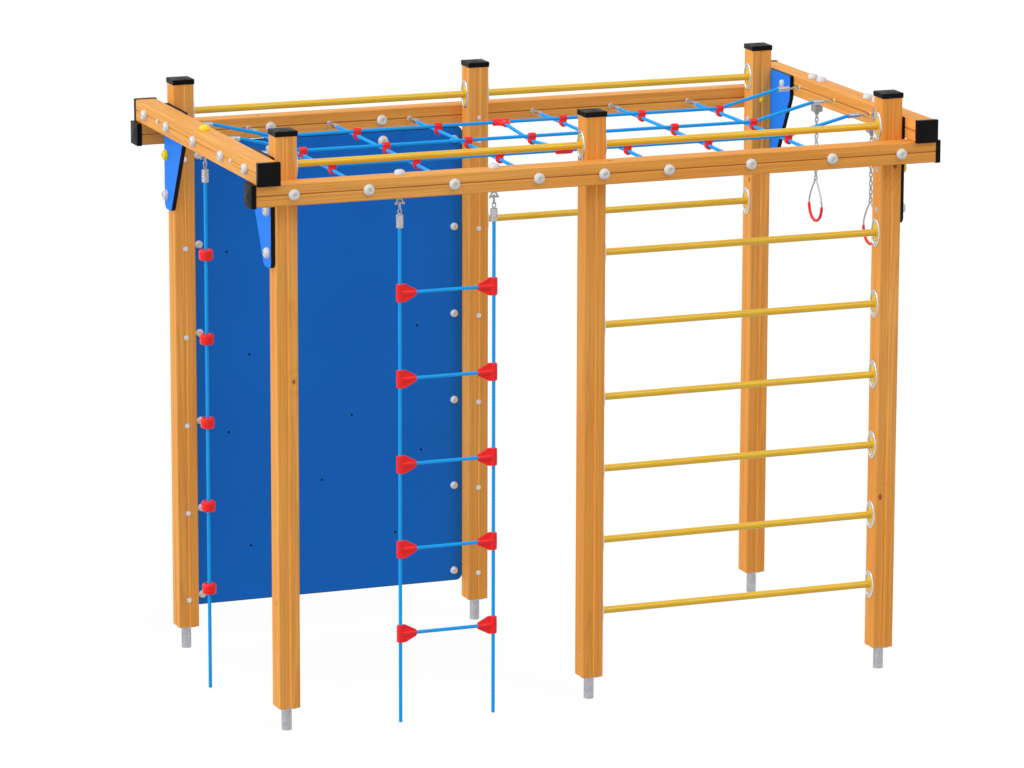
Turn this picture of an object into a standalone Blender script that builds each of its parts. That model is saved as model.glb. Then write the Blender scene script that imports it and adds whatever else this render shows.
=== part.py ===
"""Wooden climbing frame: six posts, four beams, steel rungs, a rope net, a rope ladder,
a beaded climbing rope, two swing rings and a climbing panel.

Metres, +Z up. The ground is z = 0, X runs along the two long beams, and the front is -Y.
"""

import math

import bmesh
import bpy
from mathutils import Vector

# Clearances
TOUCH = 0.0003
HINGE_GAP = 0.0005

# Timber
TIMBER = 0.104
TIMBER_CHAMFER = 0.004
POST_GROOVE_WIDTH = 0.014
POST_GROOVE_DEPTH = 0.005
BEAM_GROOVE_WIDTH = 0.010
BEAM_GROOVE_DEPTH = 0.005

# Layout of the posts, centre to centre
BAY = 1.531
DEPTH = 1.551
FOOT_HEIGHT = 0.114
POST_LENGTH = 2.743

# Foot anchors
FOOT_TUBE_RADIUS = 0.02415
FOOT_TUBE_SIDES = 16
FOOT_PLATE_SIDE = 0.080
FOOT_PLATE_THICKNESS = 0.006

# Plastic caps on the timber ends
CAP_OVERHANG = 0.003
CAP_SKIRT = 0.024
CAP_CEILING = 0.003
CAP_PEAK = 0.007

# Beams, measured down from the top of the posts
BEAM_TOP_BELOW_POST_TOP = 0.221
GUSSET_THICKNESS = 0.0215
GUSSET_HEIGHT = 0.520
GUSSET_WIDTH = 0.319
GUSSET_FOOT_WIDTH = 0.102
GUSSET_SHOULDER = 0.112
GUSSET_DROP = 0.002
GUSSET_SETBACK = 0.015
GUSSET_CORNER = 0.030
CAP_CLEARANCE = 0.0007

# Climbing panel and the steel straps that hold it
PANEL_GAP = 0.001
PANEL_THICKNESS = 0.015
PANEL_BOTTOM = 0.200
PANEL_BELOW_BEAM = 0.002
PANEL_CORNER = 0.030
PANEL_EDGE_CHAMFER = 0.004
STRAP_WIDTH = 0.040
STRAP_THICKNESS = 0.005
STRAP_LET_IN = 0.001
STRAP_ON_POST = 0.059
STRAP_ON_PANEL = 0.066
STRAP_FIRST = 0.253
STRAP_PITCH = 0.443
HOLD_HOLE_RADIUS = 0.006
HOLD_HOLE_SIDES = 6
# Holes for climbing holds: distance from the left post's centre, and height
HOLD_HOLES = (
    (0.241, 1.978),
    (0.354, 1.453),
    (0.243, 1.068),
    (0.354, 0.479),
    (1.236, 1.535),
    (1.258, 0.895),
    (1.118, 0.480),
    (0.889, 1.103),
    (0.729, 0.783),
)

# Steel bars with an oval flange at each end
BAR_RADIUS = 0.0165
FLANGE_HEIGHT = 0.140
FLANGE_WIDTH = 0.090
FLANGE_THICKNESS = 0.006
BAR_SIDES = 12
RUNG_FIRST = 0.428
RUNG_PITCH = 0.350
TOP_RAIL_BELOW_POST_TOP = 0.159
BACK_BAR_BELOW_POST_TOP = 0.796

# Ropes and their pressed fittings
ROPE_RADIUS = 0.008
ROPE_SIDES = 12
NET_HEIGHT_BELOW_POST_TOP = 0.257
NET_CROSSING = 0.010
NET_PITCH = 0.420
NET_FIRST = 0.328
NET_SIDE_COLUMNS = 3
NET_SIDES = 6
NET_CLAMP_RADIUS = 0.016
NET_CLAMP_LENGTH = 0.044
NET_WASHER_RADIUS = 0.012
NET_WASHER_THICKNESS = 0.004
NET_EYE_RADIUS = 0.0045
NET_EYE_LENGTH = 0.056
NET_FERRULE_RADIUS = 0.013
NET_FERRULE_LENGTH = 0.060
FERRULE_RADIUS = 0.017
FERRULE_LENGTH = 0.066
FERRULE_SIDES = 10
ROPE_END = 0.010

# Shackles under the beams, and the links that hang on their pins
SHACKLE_WASHER_RADIUS = 0.016
SHACKLE_WASHER_THICKNESS = 0.004
SHACKLE_NECK_RADIUS = 0.006
SHACKLE_NECK = 0.004
SHACKLE_BOW_WIRE = 0.0035
SHACKLE_BOW_HALF_WIDTH = 0.014
SHACKLE_BOW_LEG = 0.008
SHACKLE_BOW_STEPS = 6
SHACKLE_NECK_SIDES = 10
SHACKLE_PIN_RADIUS = 0.004
SHACKLE_PIN_SIDES = 8
SHACKLE_PIN_HEAD_RADIUS = 0.0075
SHACKLE_PIN_HEAD = 0.0055
LINK_WIRE = 0.003
LINK_HALF_WIDTH = 0.0076
LINK_LENGTH = 0.031
LINK_PRESS = 0.0012
LINK_ARC_STEPS = 4
LINK_WIRE_SIDES = 6
ROPE_RING_LENGTH = 0.034

# Rope ladder
LADDER_HALF_WIDTH = 0.2335
LADDER_RUNG_FIRST = 0.441
LADDER_RUNG_PITCH = 0.409
TEE_SLEEVE_RADIUS = 0.018
TEE_SLEEVE_LENGTH = 0.086
TEE_BARREL_RADIUS = 0.016
TEE_REACH = 0.080
TEE_SIDES = 8
TEE_WEB_THICKNESS = 0.014
TEE_WEB_INSET = 0.001
TEE_WEB_SHOULDER = 0.0054
TEE_TIP_INSET = 0.0016
TEE_TIP_SETBACK = 0.002

# Climbing rope with beads
BEAD_RADIUS = 0.034
BEAD_HEIGHT = 0.052
BEAD_ROUNDING = 0.008
BEAD_FIRST = 0.504
BEAD_PITCH = 0.409

# Swing rings
RING_SPACING = 0.650
HANGER_BASE_LENGTH = 0.150
HANGER_BASE_WIDTH = 0.050
HANGER_BASE_THICKNESS = 0.006
HANGER_HOUSING_SIDE = 0.050
HANGER_HOUSING_HEIGHT = 0.048
HANGER_HOUSING_CORNER = 0.006
HANGER_NECK_HEIGHT = 0.016
HANGER_NECK_RADIUS = 0.015
HANGER_NECK_TIP = 0.008
HANGER_NECK_SEAT = 0.002
HANGER_NECK_SIDES = 12
HANGER_EYE_RADIUS = 0.009
HANGER_EYE_WIRE = 0.003
HANGER_EYE_STEPS = 12
CHAIN_WIRE = 0.00275
CHAIN_INNER_HALF_WIDTH = 0.0042
CHAIN_INNER_LENGTH = 0.0201
CHAIN_PRESS = 0.0012
CHAIN_LINKS = 15
RING_WIRE = 0.0035
RING_GRIP = 0.007
RING_HALF_WIDTH = 0.076
RING_APEX_RADIUS = 0.008
RING_APEX_FROM = 35
RING_APEX_SWEEP = 110
RING_HEIGHT = 0.211
RING_BOW_HEIGHT = 0.082
RING_SHOULDER_OUT = 0.055
RING_SHOULDER_DOWN = 0.075
RING_SIDE_DOWN = 0.130
WIRE_SIDES = 8

# Places that follow from the sizes above
HALF = TIMBER / 2
POST_TOP = FOOT_HEIGHT + POST_LENGTH
BEAM_TOP = POST_TOP - BEAM_TOP_BELOW_POST_TOP
BEAM_Z = BEAM_TOP - HALF
CROSS_Z = BEAM_TOP + TOUCH + HALF
CROSS_BOTTOM = CROSS_Z - HALF
CROSS_TOP = CROSS_Z + HALF
BEAM_Y = DEPTH / 2 + HALF + TOUCH + HALF
CROSS_INNER = BAY + HALF + TOUCH + GUSSET_THICKNESS + TOUCH
CROSS_X = CROSS_INNER + HALF
CROSS_OUTER = CROSS_INNER + TIMBER
BEAM_OUTER = BEAM_Y + HALF
BEAM_BOTTOM = BEAM_TOP - TIMBER
CAP_PROUD = CAP_SKIRT - CAP_CEILING - TOUCH
CROSS_REACH = BEAM_OUTER + TOUCH
BEAM_REACH = CROSS_OUTER + CAP_OVERHANG + CAP_CLEARANCE
NET_Z = POST_TOP - NET_HEIGHT_BELOW_POST_TOP
LADDER_X = -BAY / 2
SHACKLE_DROP = SHACKLE_WASHER_THICKNESS + SHACKLE_NECK + SHACKLE_BOW_HALF_WIDTH + SHACKLE_BOW_LEG
SIDES = {"left": -1, "right": 1}
ROWS = {"front": -1, "back": 1}
COLUMNS = {"left": -1, "middle": 0, "right": 1}
SQUARE = ((-1, -1), (1, -1), (1, 1), (-1, 1))


def clear_scene():
    for old in list(bpy.data.objects):
        bpy.data.objects.remove(old, do_unlink=True)


def paint(name, colour, roughness, metallic=0.0):
    material = bpy.data.materials.get(name) or bpy.data.materials.new(name)
    material.use_nodes = True
    shader = material.node_tree.nodes["Principled BSDF"]
    shader.inputs["Base Color"].default_value = (*colour, 1.0)
    shader.inputs["Roughness"].default_value = roughness
    shader.inputs["Metallic"].default_value = metallic
    return material


def wood():
    return paint("oiled_larch", (0.72, 0.36, 0.10), 0.6)


def black_plastic():
    return paint("black_plastic", (0.02, 0.02, 0.02), 0.45)


def bright_blue_board():
    return paint("bright_blue_board", (0.04, 0.22, 0.85), 0.4)


def blue_board():
    return paint("blue_board", (0.01, 0.10, 0.42), 0.45)


def yellow_steel():
    return paint("yellow_steel", (0.80, 0.52, 0.03), 0.35)


def blue_rope():
    return paint("blue_rope", (0.02, 0.30, 0.85), 0.75)


def red_plastic():
    return paint("red_plastic", (0.80, 0.02, 0.02), 0.35)


def galvanised_steel():
    return paint("galvanised_steel", (0.62, 0.63, 0.65), 0.4, 1.0)


def finish_mesh(name, mesh, material, origin=(0, 0, 0), smooth=True):
    """A named object whose origin lies at a chosen point of the part."""
    place = Vector(origin)
    for vertex in mesh.vertices:
        vertex.co -= place
    if smooth:
        mesh.shade_smooth()
        mesh.set_sharp_from_angle(angle=math.radians(35))
    mesh.materials.clear()
    mesh.materials.append(material)
    body = bpy.data.objects.new(name, mesh)
    body.location = place
    bpy.context.scene.collection.objects.link(body)
    return body


def mesh_of(bm):
    bmesh.ops.recalc_face_normals(bm, faces=bm.faces)
    mesh = bpy.data.meshes.new("mesh")
    bm.to_mesh(mesh)
    bm.free()
    return mesh


def extruded(outline, low, high, place):
    """A prism. place turns (u, v, w) into a point, with w from low to high."""
    bm = bmesh.new()
    bridge(bm, [[bm.verts.new(place(u, v, w)) for u, v in outline] for w in (low, high)])
    return mesh_of(bm)


def bridge(bm, rings, closed=False):
    """Faces between the rings, in turn, and over both ends or back to the first."""
    following = rings[1:] + rings[:1] if closed else rings[1:]
    for near, far in zip(rings, following):
        for i in range(len(near)):
            j = (i + 1) % len(near)
            bm.faces.new((near[i], near[j], far[j], far[i]))
    if not closed:
        bm.faces.new(rings[0])
        bm.faces.new(rings[-1])


def box(low, high):
    corners = ((low[0], low[1]), (high[0], low[1]), (high[0], high[1]), (low[0], high[1]))
    return extruded(corners, low[2], high[2], lambda u, v, w: (u, v, w))


def tube(points, radii, sides, closed=False, turn=0.5):
    """A round bar along points, with its own radius at each of them."""
    points = [Vector(p) for p in points]
    count = len(points)
    if not hasattr(radii, "__len__"):
        radii = [radii] * count
    bm = bmesh.new()
    across = None
    rings = []
    for i, point in enumerate(points):
        if closed:
            along = points[(i + 1) % count] - points[i - 1]
        else:
            along = points[min(i + 1, count - 1)] - points[max(i - 1, 0)]
        along.normalize()
        if across is None:
            guide = Vector((0, 0, 1)) if abs(along.z) < 0.9 else Vector((0, 1, 0))
            across = guide.cross(along).normalized()
        across = (across - along * across.dot(along)).normalized()
        beside = along.cross(across)
        rings.append(round_section(bm, point, across, beside, radii[i], sides, turn))
    bridge(bm, rings, closed)
    return mesh_of(bm)


def round_section(bm, centre, across, beside, radius, sides, turn=0.5):
    ring = []
    for k in range(sides):
        angle = 2 * math.pi * (k + turn) / sides
        way = across * math.cos(angle) + beside * math.sin(angle)
        ring.append(bm.verts.new(centre + way * radius))
    return ring


def together(*meshes):
    """Several closed meshes in one, as the operand of a union or a cut."""
    bm = bmesh.new()
    for mesh in meshes:
        bm.from_mesh(mesh)
        bpy.data.meshes.remove(mesh)
    joined = bpy.data.meshes.new("mesh")
    bm.to_mesh(joined)
    bm.free()
    return joined


def combined(base, *others, operation="UNION"):
    """The base mesh joined with, or cut by, each of the others in turn."""
    body = bpy.data.objects.new("body", base)
    bpy.context.scene.collection.objects.link(body)
    helpers = []
    for other in others:
        helper = bpy.data.objects.new("helper", other)
        helper.hide_render = True
        helper.display_type = "WIRE"
        bpy.context.scene.collection.objects.link(helper)
        modifier = body.modifiers.new("join", "BOOLEAN")
        modifier.operation = operation
        modifier.solver = "EXACT"
        modifier.object = helper
        helpers.append(helper)
    view = bpy.context.evaluated_depsgraph_get()
    result = bpy.data.meshes.new_from_object(body.evaluated_get(view))
    for helper in helpers:
        bpy.data.objects.remove(helper, do_unlink=True)
    bpy.data.objects.remove(body, do_unlink=True)
    return result


def rounded(corners, steps=3):
    """A closed outline whose corners (u, v, radius) are rounded."""
    outline = []
    for i, (u, v, radius) in enumerate(corners):
        here = Vector((u, v))
        before = (Vector(corners[i - 1][:2]) - here).normalized()
        after = (Vector(corners[(i + 1) % len(corners)][:2]) - here).normalized()
        if radius == 0:
            outline.append((u, v))
            continue
        half_angle = before.angle(after) / 2
        centre = here + (before + after).normalized() * (radius / math.sin(half_angle))
        start = here + before * (radius / math.tan(half_angle)) - centre
        sweep = math.pi - 2 * half_angle
        turn = 1 if before.cross(after) < 0 else -1
        for k in range(steps + 1):
            angle = turn * sweep * k / steps
            c, s = math.cos(angle), math.sin(angle)
            outline.append((centre.x + start.x * c - start.y * s, centre.y + start.x * s + start.y * c))
    return outline


def oval(height, width, steps):
    return [
        (width / 2 * math.cos(2 * math.pi * k / steps), height / 2 * math.sin(2 * math.pi * k / steps))
        for k in range(steps)
    ]


def timber_outline(groove_width, groove_depth, grooved):
    """Section of a timber with chamfered corners and a V groove in each named side."""
    h, c, g, d = HALF, TIMBER_CHAMFER, groove_width / 2, groove_depth
    outline = []
    for side in range(4):
        run = [(h, -h + c)]
        if side in grooved:
            run += [(h, -g), (h - d, 0), (h, g)]
        run.append((h, h - c))
        for u, v in run:
            for _ in range(side):
                u, v = -v, u
            outline.append((u, v))
    return outline


def cap_mesh(place):
    """A square cap whose skirt starts at w = 0 and whose low pyramid points to +w."""
    outer = HALF + CAP_OVERHANG
    inner = HALF + TOUCH
    ceiling = CAP_SKIRT - CAP_CEILING
    bm = bmesh.new()

    def ring(half, w):
        return [bm.verts.new(place(a * half, b * half, w)) for a, b in SQUARE]

    outside, shoulder = ring(outer, 0), ring(outer, CAP_SKIRT)
    mouth, top = ring(inner, 0), ring(inner, ceiling)
    peak = bm.verts.new(place(0, 0, CAP_SKIRT + CAP_PEAK))
    for i in range(4):
        j = (i + 1) % 4
        bm.faces.new((outside[i], outside[j], shoulder[j], shoulder[i]))
        bm.faces.new((mouth[i], mouth[j], outside[j], outside[i]))
        bm.faces.new((mouth[i], mouth[j], top[j], top[i]))
        bm.faces.new((shoulder[i], shoulder[j], peak))
    bm.faces.new(top)
    return mesh_of(bm)


def make_posts():
    outline = timber_outline(POST_GROOVE_WIDTH, POST_GROOVE_DEPTH, (0, 1, 2, 3))
    for row, back in ROWS.items():
        for column, right in COLUMNS.items():
            x, y = right * BAY, back * DEPTH / 2
            name = f"{row}_{column}"
            post = extruded(outline, FOOT_HEIGHT, POST_TOP, lambda u, v, w: (x + u, y + v, w))
            finish_mesh(f"post_{name}", post, wood(), (x, y, FOOT_HEIGHT))
            low = POST_TOP - CAP_PROUD
            cap = cap_mesh(lambda u, v, w: (x + u, y + v, low + w))
            finish_mesh(f"post_cap_{name}", cap, black_plastic(), (x, y, POST_TOP), smooth=False)
            make_foot(f"foot_{name}", x, y)


def make_foot(name, x, y):
    plate_top = FOOT_HEIGHT - TOUCH
    plate_low = plate_top - FOOT_PLATE_THICKNESS
    half = FOOT_PLATE_SIDE / 2
    plate = box((x - half, y - half, plate_low), (x + half, y + half, plate_top))
    pipe_top = plate_low + FOOT_PLATE_THICKNESS / 2
    pipe = tube(((x, y, 0), (x, y, pipe_top)), FOOT_TUBE_RADIUS, FOOT_TUBE_SIDES)
    finish_mesh(name, combined(plate, pipe), galvanised_steel(), (x, y, 0))


def make_beams():
    outline = timber_outline(BEAM_GROOVE_WIDTH, BEAM_GROOVE_DEPTH, (0, 2))
    for row, back in ROWS.items():
        y = back * BEAM_Y
        reach = BEAM_REACH + CAP_PROUD
        beam = extruded(outline, -reach, reach, lambda u, v, w: (w, y + u, BEAM_Z + v))
        finish_mesh(f"beam_{row}", beam, wood(), (0, y, BEAM_Z))
        for side, right in SIDES.items():
            cap = cap_mesh(lambda u, v, w: (right * (BEAM_REACH + w), y + u, BEAM_Z + v))
            mouth = (right * BEAM_REACH, y, BEAM_Z)
            finish_mesh(f"beam_{row}_cap_{side}", cap, black_plastic(), mouth, smooth=False)
    for side, right in SIDES.items():
        x = right * CROSS_X
        reach = CROSS_REACH + CAP_PROUD
        beam = extruded(outline, -reach, reach, lambda u, v, w: (x + u, w, CROSS_Z + v))
        finish_mesh(f"crossbeam_{side}", beam, wood(), (x, 0, CROSS_Z))
        for row, back in ROWS.items():
            cap = cap_mesh(lambda u, v, w: (x + u, back * (CROSS_REACH + w), CROSS_Z + v))
            mouth = (x, back * CROSS_REACH, CROSS_Z)
            finish_mesh(f"crossbeam_{side}_cap_{row}", cap, black_plastic(), mouth, smooth=False)


def make_gussets():
    """Board brackets between the end posts and the crossbeams."""
    top = CROSS_TOP - GUSSET_DROP
    low = top - GUSSET_HEIGHT
    edge = DEPTH / 2 + HALF - GUSSET_SETBACK
    corners = (
        (edge, top, GUSSET_CORNER / 3),
        (edge, low, GUSSET_CORNER),
        (edge - GUSSET_FOOT_WIDTH, low, GUSSET_CORNER),
        (edge - GUSSET_WIDTH, top - GUSSET_SHOULDER, GUSSET_CORNER * 2),
        (edge - GUSSET_WIDTH, top, GUSSET_CORNER / 3),
    )
    outline = rounded(corners)
    inner = BAY + HALF + TOUCH
    for row, back in ROWS.items():
        for side, right in SIDES.items():
            outer = inner + GUSSET_THICKNESS
            board = extruded(outline, inner, outer, lambda u, v, w: (right * w, back * u, v))
            corner = (right * inner, back * edge, top)
            finish_mesh(f"gusset_{row}_{side}", board, bright_blue_board(), corner)


def make_panel():
    """The climbing board in the back left bay, with the steel straps that hold it to the posts."""
    left_post = -BAY
    left = left_post + HALF + PANEL_GAP
    right = -HALF - PANEL_GAP
    top = BEAM_BOTTOM - PANEL_BELOW_BEAM
    behind = DEPTH / 2 + HALF + TOUCH
    rear = behind + STRAP_LET_IN
    front = rear - PANEL_THICKNESS
    chamfer = PANEL_EDGE_CHAMFER
    corners = [(left, PANEL_BOTTOM), (right, PANEL_BOTTOM), (right, top), (left, top)]
    full = rounded([(u, v, PANEL_CORNER) for u, v in corners])
    near_left, far_right = left + chamfer, right - chamfer
    low, high = PANEL_BOTTOM + chamfer, top - chamfer
    inset = [(near_left, low), (far_right, low), (far_right, high), (near_left, high)]
    small = rounded([(u, v, PANEL_CORNER - chamfer) for u, v in inset])
    bm = bmesh.new()
    rings = []
    for outline, y in ((small, front), (full, front + chamfer), (full, rear)):
        rings.append([bm.verts.new((u, y, v)) for u, v in outline])
    bridge(bm, rings)
    board = mesh_of(bm)
    drill_from, drill_to = front - PANEL_THICKNESS, rear + PANEL_THICKNESS
    holes = []
    for along, z in HOLD_HOLES:
        x = left_post + along
        if x < right - STRAP_ON_PANEL and z < top - STRAP_WIDTH:
            drill = ((x, drill_from, z), (x, drill_to, z))
            holes.append(tube(drill, HOLD_HOLE_RADIUS, HOLD_HOLE_SIDES))
    board = combined(board, together(*holes), operation="DIFFERENCE")
    straps = []
    for i in range(int((top - STRAP_WIDTH - STRAP_FIRST) / STRAP_PITCH) + 1):
        z = STRAP_FIRST + i * STRAP_PITCH
        for x, inward in ((left, 1), (right, -1)):
            post_end = x - inward * STRAP_ON_POST
            panel_end = x + inward * STRAP_ON_PANEL
            low_x, high_x = sorted((post_end, panel_end))
            straps.append(
                box(
                    (low_x, behind, z - STRAP_WIDTH / 2),
                    (high_x, behind + STRAP_THICKNESS, z + STRAP_WIDTH / 2),
                )
            )
    board = combined(board, together(*straps))
    corner = ((left + right) / 2, front, PANEL_BOTTOM)
    finish_mesh("climbing_panel", board, blue_board(), corner, smooth=False)


def bar_mesh(low_x, high_x, y, z):
    """A steel bar along X, welded to an oval flange at each end."""
    flange = oval(FLANGE_HEIGHT, FLANGE_WIDTH, BAR_SIDES)
    bar = oval(2 * BAR_RADIUS, 2 * BAR_RADIUS, BAR_SIDES)
    sections = (
        (low_x, flange),
        (low_x + FLANGE_THICKNESS, flange),
        (low_x + FLANGE_THICKNESS, bar),
        (high_x - FLANGE_THICKNESS, bar),
        (high_x - FLANGE_THICKNESS, flange),
        (high_x, flange),
    )
    bm = bmesh.new()
    rings = [[bm.verts.new((x, y + u, z + v)) for u, v in outline] for x, outline in sections]
    bridge(bm, rings)
    return mesh_of(bm)


def make_bars():
    low, high = HALF + TOUCH, BAY - HALF - TOUCH
    rail_z = POST_TOP - TOP_RAIL_BELOW_POST_TOP
    places = []
    for row, back in ROWS.items():
        places.append((f"top_rail_{row}_left", -high, -low, back, rail_z))
        places.append((f"top_rail_{row}_right", low, high, back, rail_z))
    places.append(("back_bar", low, high, 1, POST_TOP - BACK_BAR_BELOW_POST_TOP))
    count = int((BEAM_BOTTOM - FLANGE_HEIGHT / 2 - RUNG_FIRST) / RUNG_PITCH) + 1
    for i in range(count):
        places.append((f"rung_{i + 1}", low, high, -1, RUNG_FIRST + i * RUNG_PITCH))
    for name, low_x, high_x, back, z in places:
        y = back * DEPTH / 2
        bar = bar_mesh(low_x, high_x, y, z)
        finish_mesh(name, bar, yellow_steel(), ((low_x + high_x) / 2, y, z))


def net_rope(points):
    """A net rope with its pressed ferrules and eye bolts, from beam face to beam face."""
    points = [Vector(p) for p in points]
    path, radii = [], []
    for end, inner in ((points[0], points[1]), (points[-1], points[-2])):
        way = Vector((inner.x - end.x, inner.y - end.y, 0)).normalized()
        steps = [
            (0, NET_WASHER_RADIUS),
            (NET_WASHER_THICKNESS, NET_WASHER_RADIUS),
            (NET_WASHER_THICKNESS, NET_EYE_RADIUS),
            (NET_WASHER_THICKNESS + NET_EYE_LENGTH, NET_EYE_RADIUS),
            (NET_WASHER_THICKNESS + NET_EYE_LENGTH, NET_FERRULE_RADIUS),
            (NET_WASHER_THICKNESS + NET_EYE_LENGTH + NET_FERRULE_LENGTH, NET_FERRULE_RADIUS),
            (NET_WASHER_THICKNESS + NET_EYE_LENGTH + NET_FERRULE_LENGTH, ROPE_RADIUS),
        ]
        path.append([end + way * distance for distance, _ in steps])
        radii.append([radius for _, radius in steps])
    middle = points[1:-1]
    line = path[0] + middle + path[1][::-1]
    sizes = radii[0] + [ROPE_RADIUS] * len(middle) + radii[1][::-1]
    return stepped_tube(line, sizes, NET_SIDES)


def stepped_tube(points, radii, sides):
    """A tube that may change its radius in a square step, where two points coincide."""
    points = [Vector(p) for p in points]
    bm = bmesh.new()
    rings = []
    across = None
    for i, point in enumerate(points):
        before, after = i, i
        while before > 0 and (points[before] - point).length < 1e-6:
            before -= 1
        while after < len(points) - 1 and (points[after] - point).length < 1e-6:
            after += 1
        along = (points[after] - points[before]).normalized()
        if across is None:
            guide = Vector((0, 0, 1)) if abs(along.z) < 0.9 else Vector((0, 1, 0))
            across = guide.cross(along).normalized()
        across = (across - along * across.dot(along)).normalized()
        beside = along.cross(across)
        rings.append(round_section(bm, point, across, beside, radii[i], sides))
    bridge(bm, rings)
    return mesh_of(bm)


def net_columns():
    """Where the ropes across the net lie along X, the middle one left out."""
    steps = [NET_FIRST + i * NET_PITCH for i in range(NET_SIDE_COLUMNS)]
    return [-x for x in reversed(steps)] + steps


def make_net():
    upper = NET_Z + NET_CROSSING
    lower = NET_Z - NET_CROSSING
    rows = (-NET_PITCH, 0, NET_PITCH)
    columns = net_columns()
    wall_y = BEAM_Y - HALF - TOUCH
    wall_x = CROSS_INNER - TOUCH
    across = []
    for x in columns:
        line = [(x, -wall_y, BEAM_Z)] + [(x, y, lower) for y in rows] + [(x, wall_y, BEAM_Z)]
        across.append(net_rope(line))
    reach = NET_PITCH - TEE_REACH / 2
    half = NET_CLAMP_LENGTH / 2
    middle = ((0, -reach, upper), (0, -half, lower), (0, half, lower), (0, reach, upper))
    across.append(tube(middle, ROPE_RADIUS, NET_SIDES))
    along = []
    for y in rows:
        line = [(-wall_x, y, CROSS_Z), (columns[0], y, upper), (columns[-1], y, upper), (wall_x, y, CROSS_Z)]
        along.append(net_rope(line))
    clamps_along, clamps_across = [], []
    for back in ROWS.values():
        clamps_along.append(tee(lambda u, v, w: (v, back * (NET_PITCH - u), upper + w)))
    for x in columns + [0]:
        for y in rows if x else (0,):
            barrel = ((x - half, y, upper), (x + half, y, upper))
            clamps_along.append(tube(barrel, NET_CLAMP_RADIUS, NET_SIDES))
            barrel = ((x, y - half, lower), (x, y + half, lower))
            clamps_across.append(tube(barrel, NET_CLAMP_RADIUS, NET_SIDES))
    upper_part = combined(together(*along), together(*clamps_along))
    lower_part = combined(together(*across), together(*clamps_across))
    net = combined(upper_part, lower_part)
    finish_mesh("net", net, blue_rope(), (0, 0, NET_Z))


def link_mesh(top, bottom, half_width, wire, place):
    """A closed link of round wire whose flats lie true to its half width and thickness."""
    reach = half_width / math.cos(math.pi / (2 * LINK_ARC_STEPS))
    points = []
    for centre, start in ((top - half_width, 0), (bottom + half_width, math.pi)):
        for k in range(LINK_ARC_STEPS):
            angle = start + math.pi * (k + 0.5) / LINK_ARC_STEPS
            points.append(place(reach * math.cos(angle), centre + reach * math.sin(angle)))
    return tube(points, wire / math.cos(math.pi / LINK_WIRE_SIDES), LINK_WIRE_SIDES, closed=True)


def shackle(name, x, y, ceiling):
    """A washer, neck and bow under a beam. Its pin runs along X, between a head and a nut."""
    start = ceiling - TOUCH
    washer_low = start - SHACKLE_WASHER_THICKNESS
    pin_z = start - SHACKLE_DROP
    legs = SHACKLE_BOW_HALF_WIDTH
    bow_z = pin_z + SHACKLE_BOW_LEG
    neck_low = bow_z + legs
    stem = stepped_tube(
        ((x, y, start), (x, y, washer_low), (x, y, washer_low), (x, y, neck_low)),
        (SHACKLE_WASHER_RADIUS, SHACKLE_WASHER_RADIUS, SHACKLE_NECK_RADIUS, SHACKLE_NECK_RADIUS),
        SHACKLE_NECK_SIDES,
    )
    arc = [math.pi * k / SHACKLE_BOW_STEPS for k in range(SHACKLE_BOW_STEPS + 1)]
    bow = [(x + legs, y, pin_z)]
    bow += [(x + legs * math.cos(angle), y, bow_z + legs * math.sin(angle)) for angle in arc]
    bow += [(x - legs, y, pin_z)]
    head_start = legs + SHACKLE_BOW_WIRE
    head_end = head_start + SHACKLE_PIN_HEAD
    reaches = (-head_end, -head_start, -head_start, head_start, head_start, head_end)
    head, pin_radius = SHACKLE_PIN_HEAD_RADIUS, SHACKLE_PIN_RADIUS
    pin_line = [(x + reach, y, pin_z) for reach in reaches]
    pin_radii = (head, head, pin_radius, pin_radius, head, head)
    pin = stepped_tube(pin_line, pin_radii, SHACKLE_PIN_SIDES)
    body = combined(stem, tube(bow, SHACKLE_BOW_WIRE, LINK_WIRE_SIDES), pin)
    finish_mesh(name, body, galvanised_steel(), (x, y, start))
    return pin_z


def tee(place):
    """A T connector: a sleeve, a barrel square to it and a web between. place turns its own u along
    the barrel, v along the sleeve and w through the web into a point.
    """
    half = TEE_SLEEVE_LENGTH / 2
    sleeve = tube((place(0, -half, 0), place(0, half, 0)), TEE_SLEEVE_RADIUS, TEE_SIDES)
    barrel = tube((place(0, 0, 0), place(TEE_REACH, 0, 0)), TEE_BARREL_RADIUS, TEE_SIDES)
    shoulder = TEE_SLEEVE_RADIUS + TEE_WEB_SHOULDER
    tip_out = TEE_REACH - TEE_TIP_SETBACK
    tip = TEE_BARREL_RADIUS - TEE_TIP_INSET
    edge = half - TEE_WEB_INSET
    web_outline = [(0, -edge), (shoulder, -edge), (tip_out, -tip), (tip_out, tip), (shoulder, edge), (0, edge)]
    web_half = TEE_WEB_THICKNESS / 2
    web = extruded(web_outline, -web_half, web_half, place)
    return combined(sleeve, barrel, web)


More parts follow.
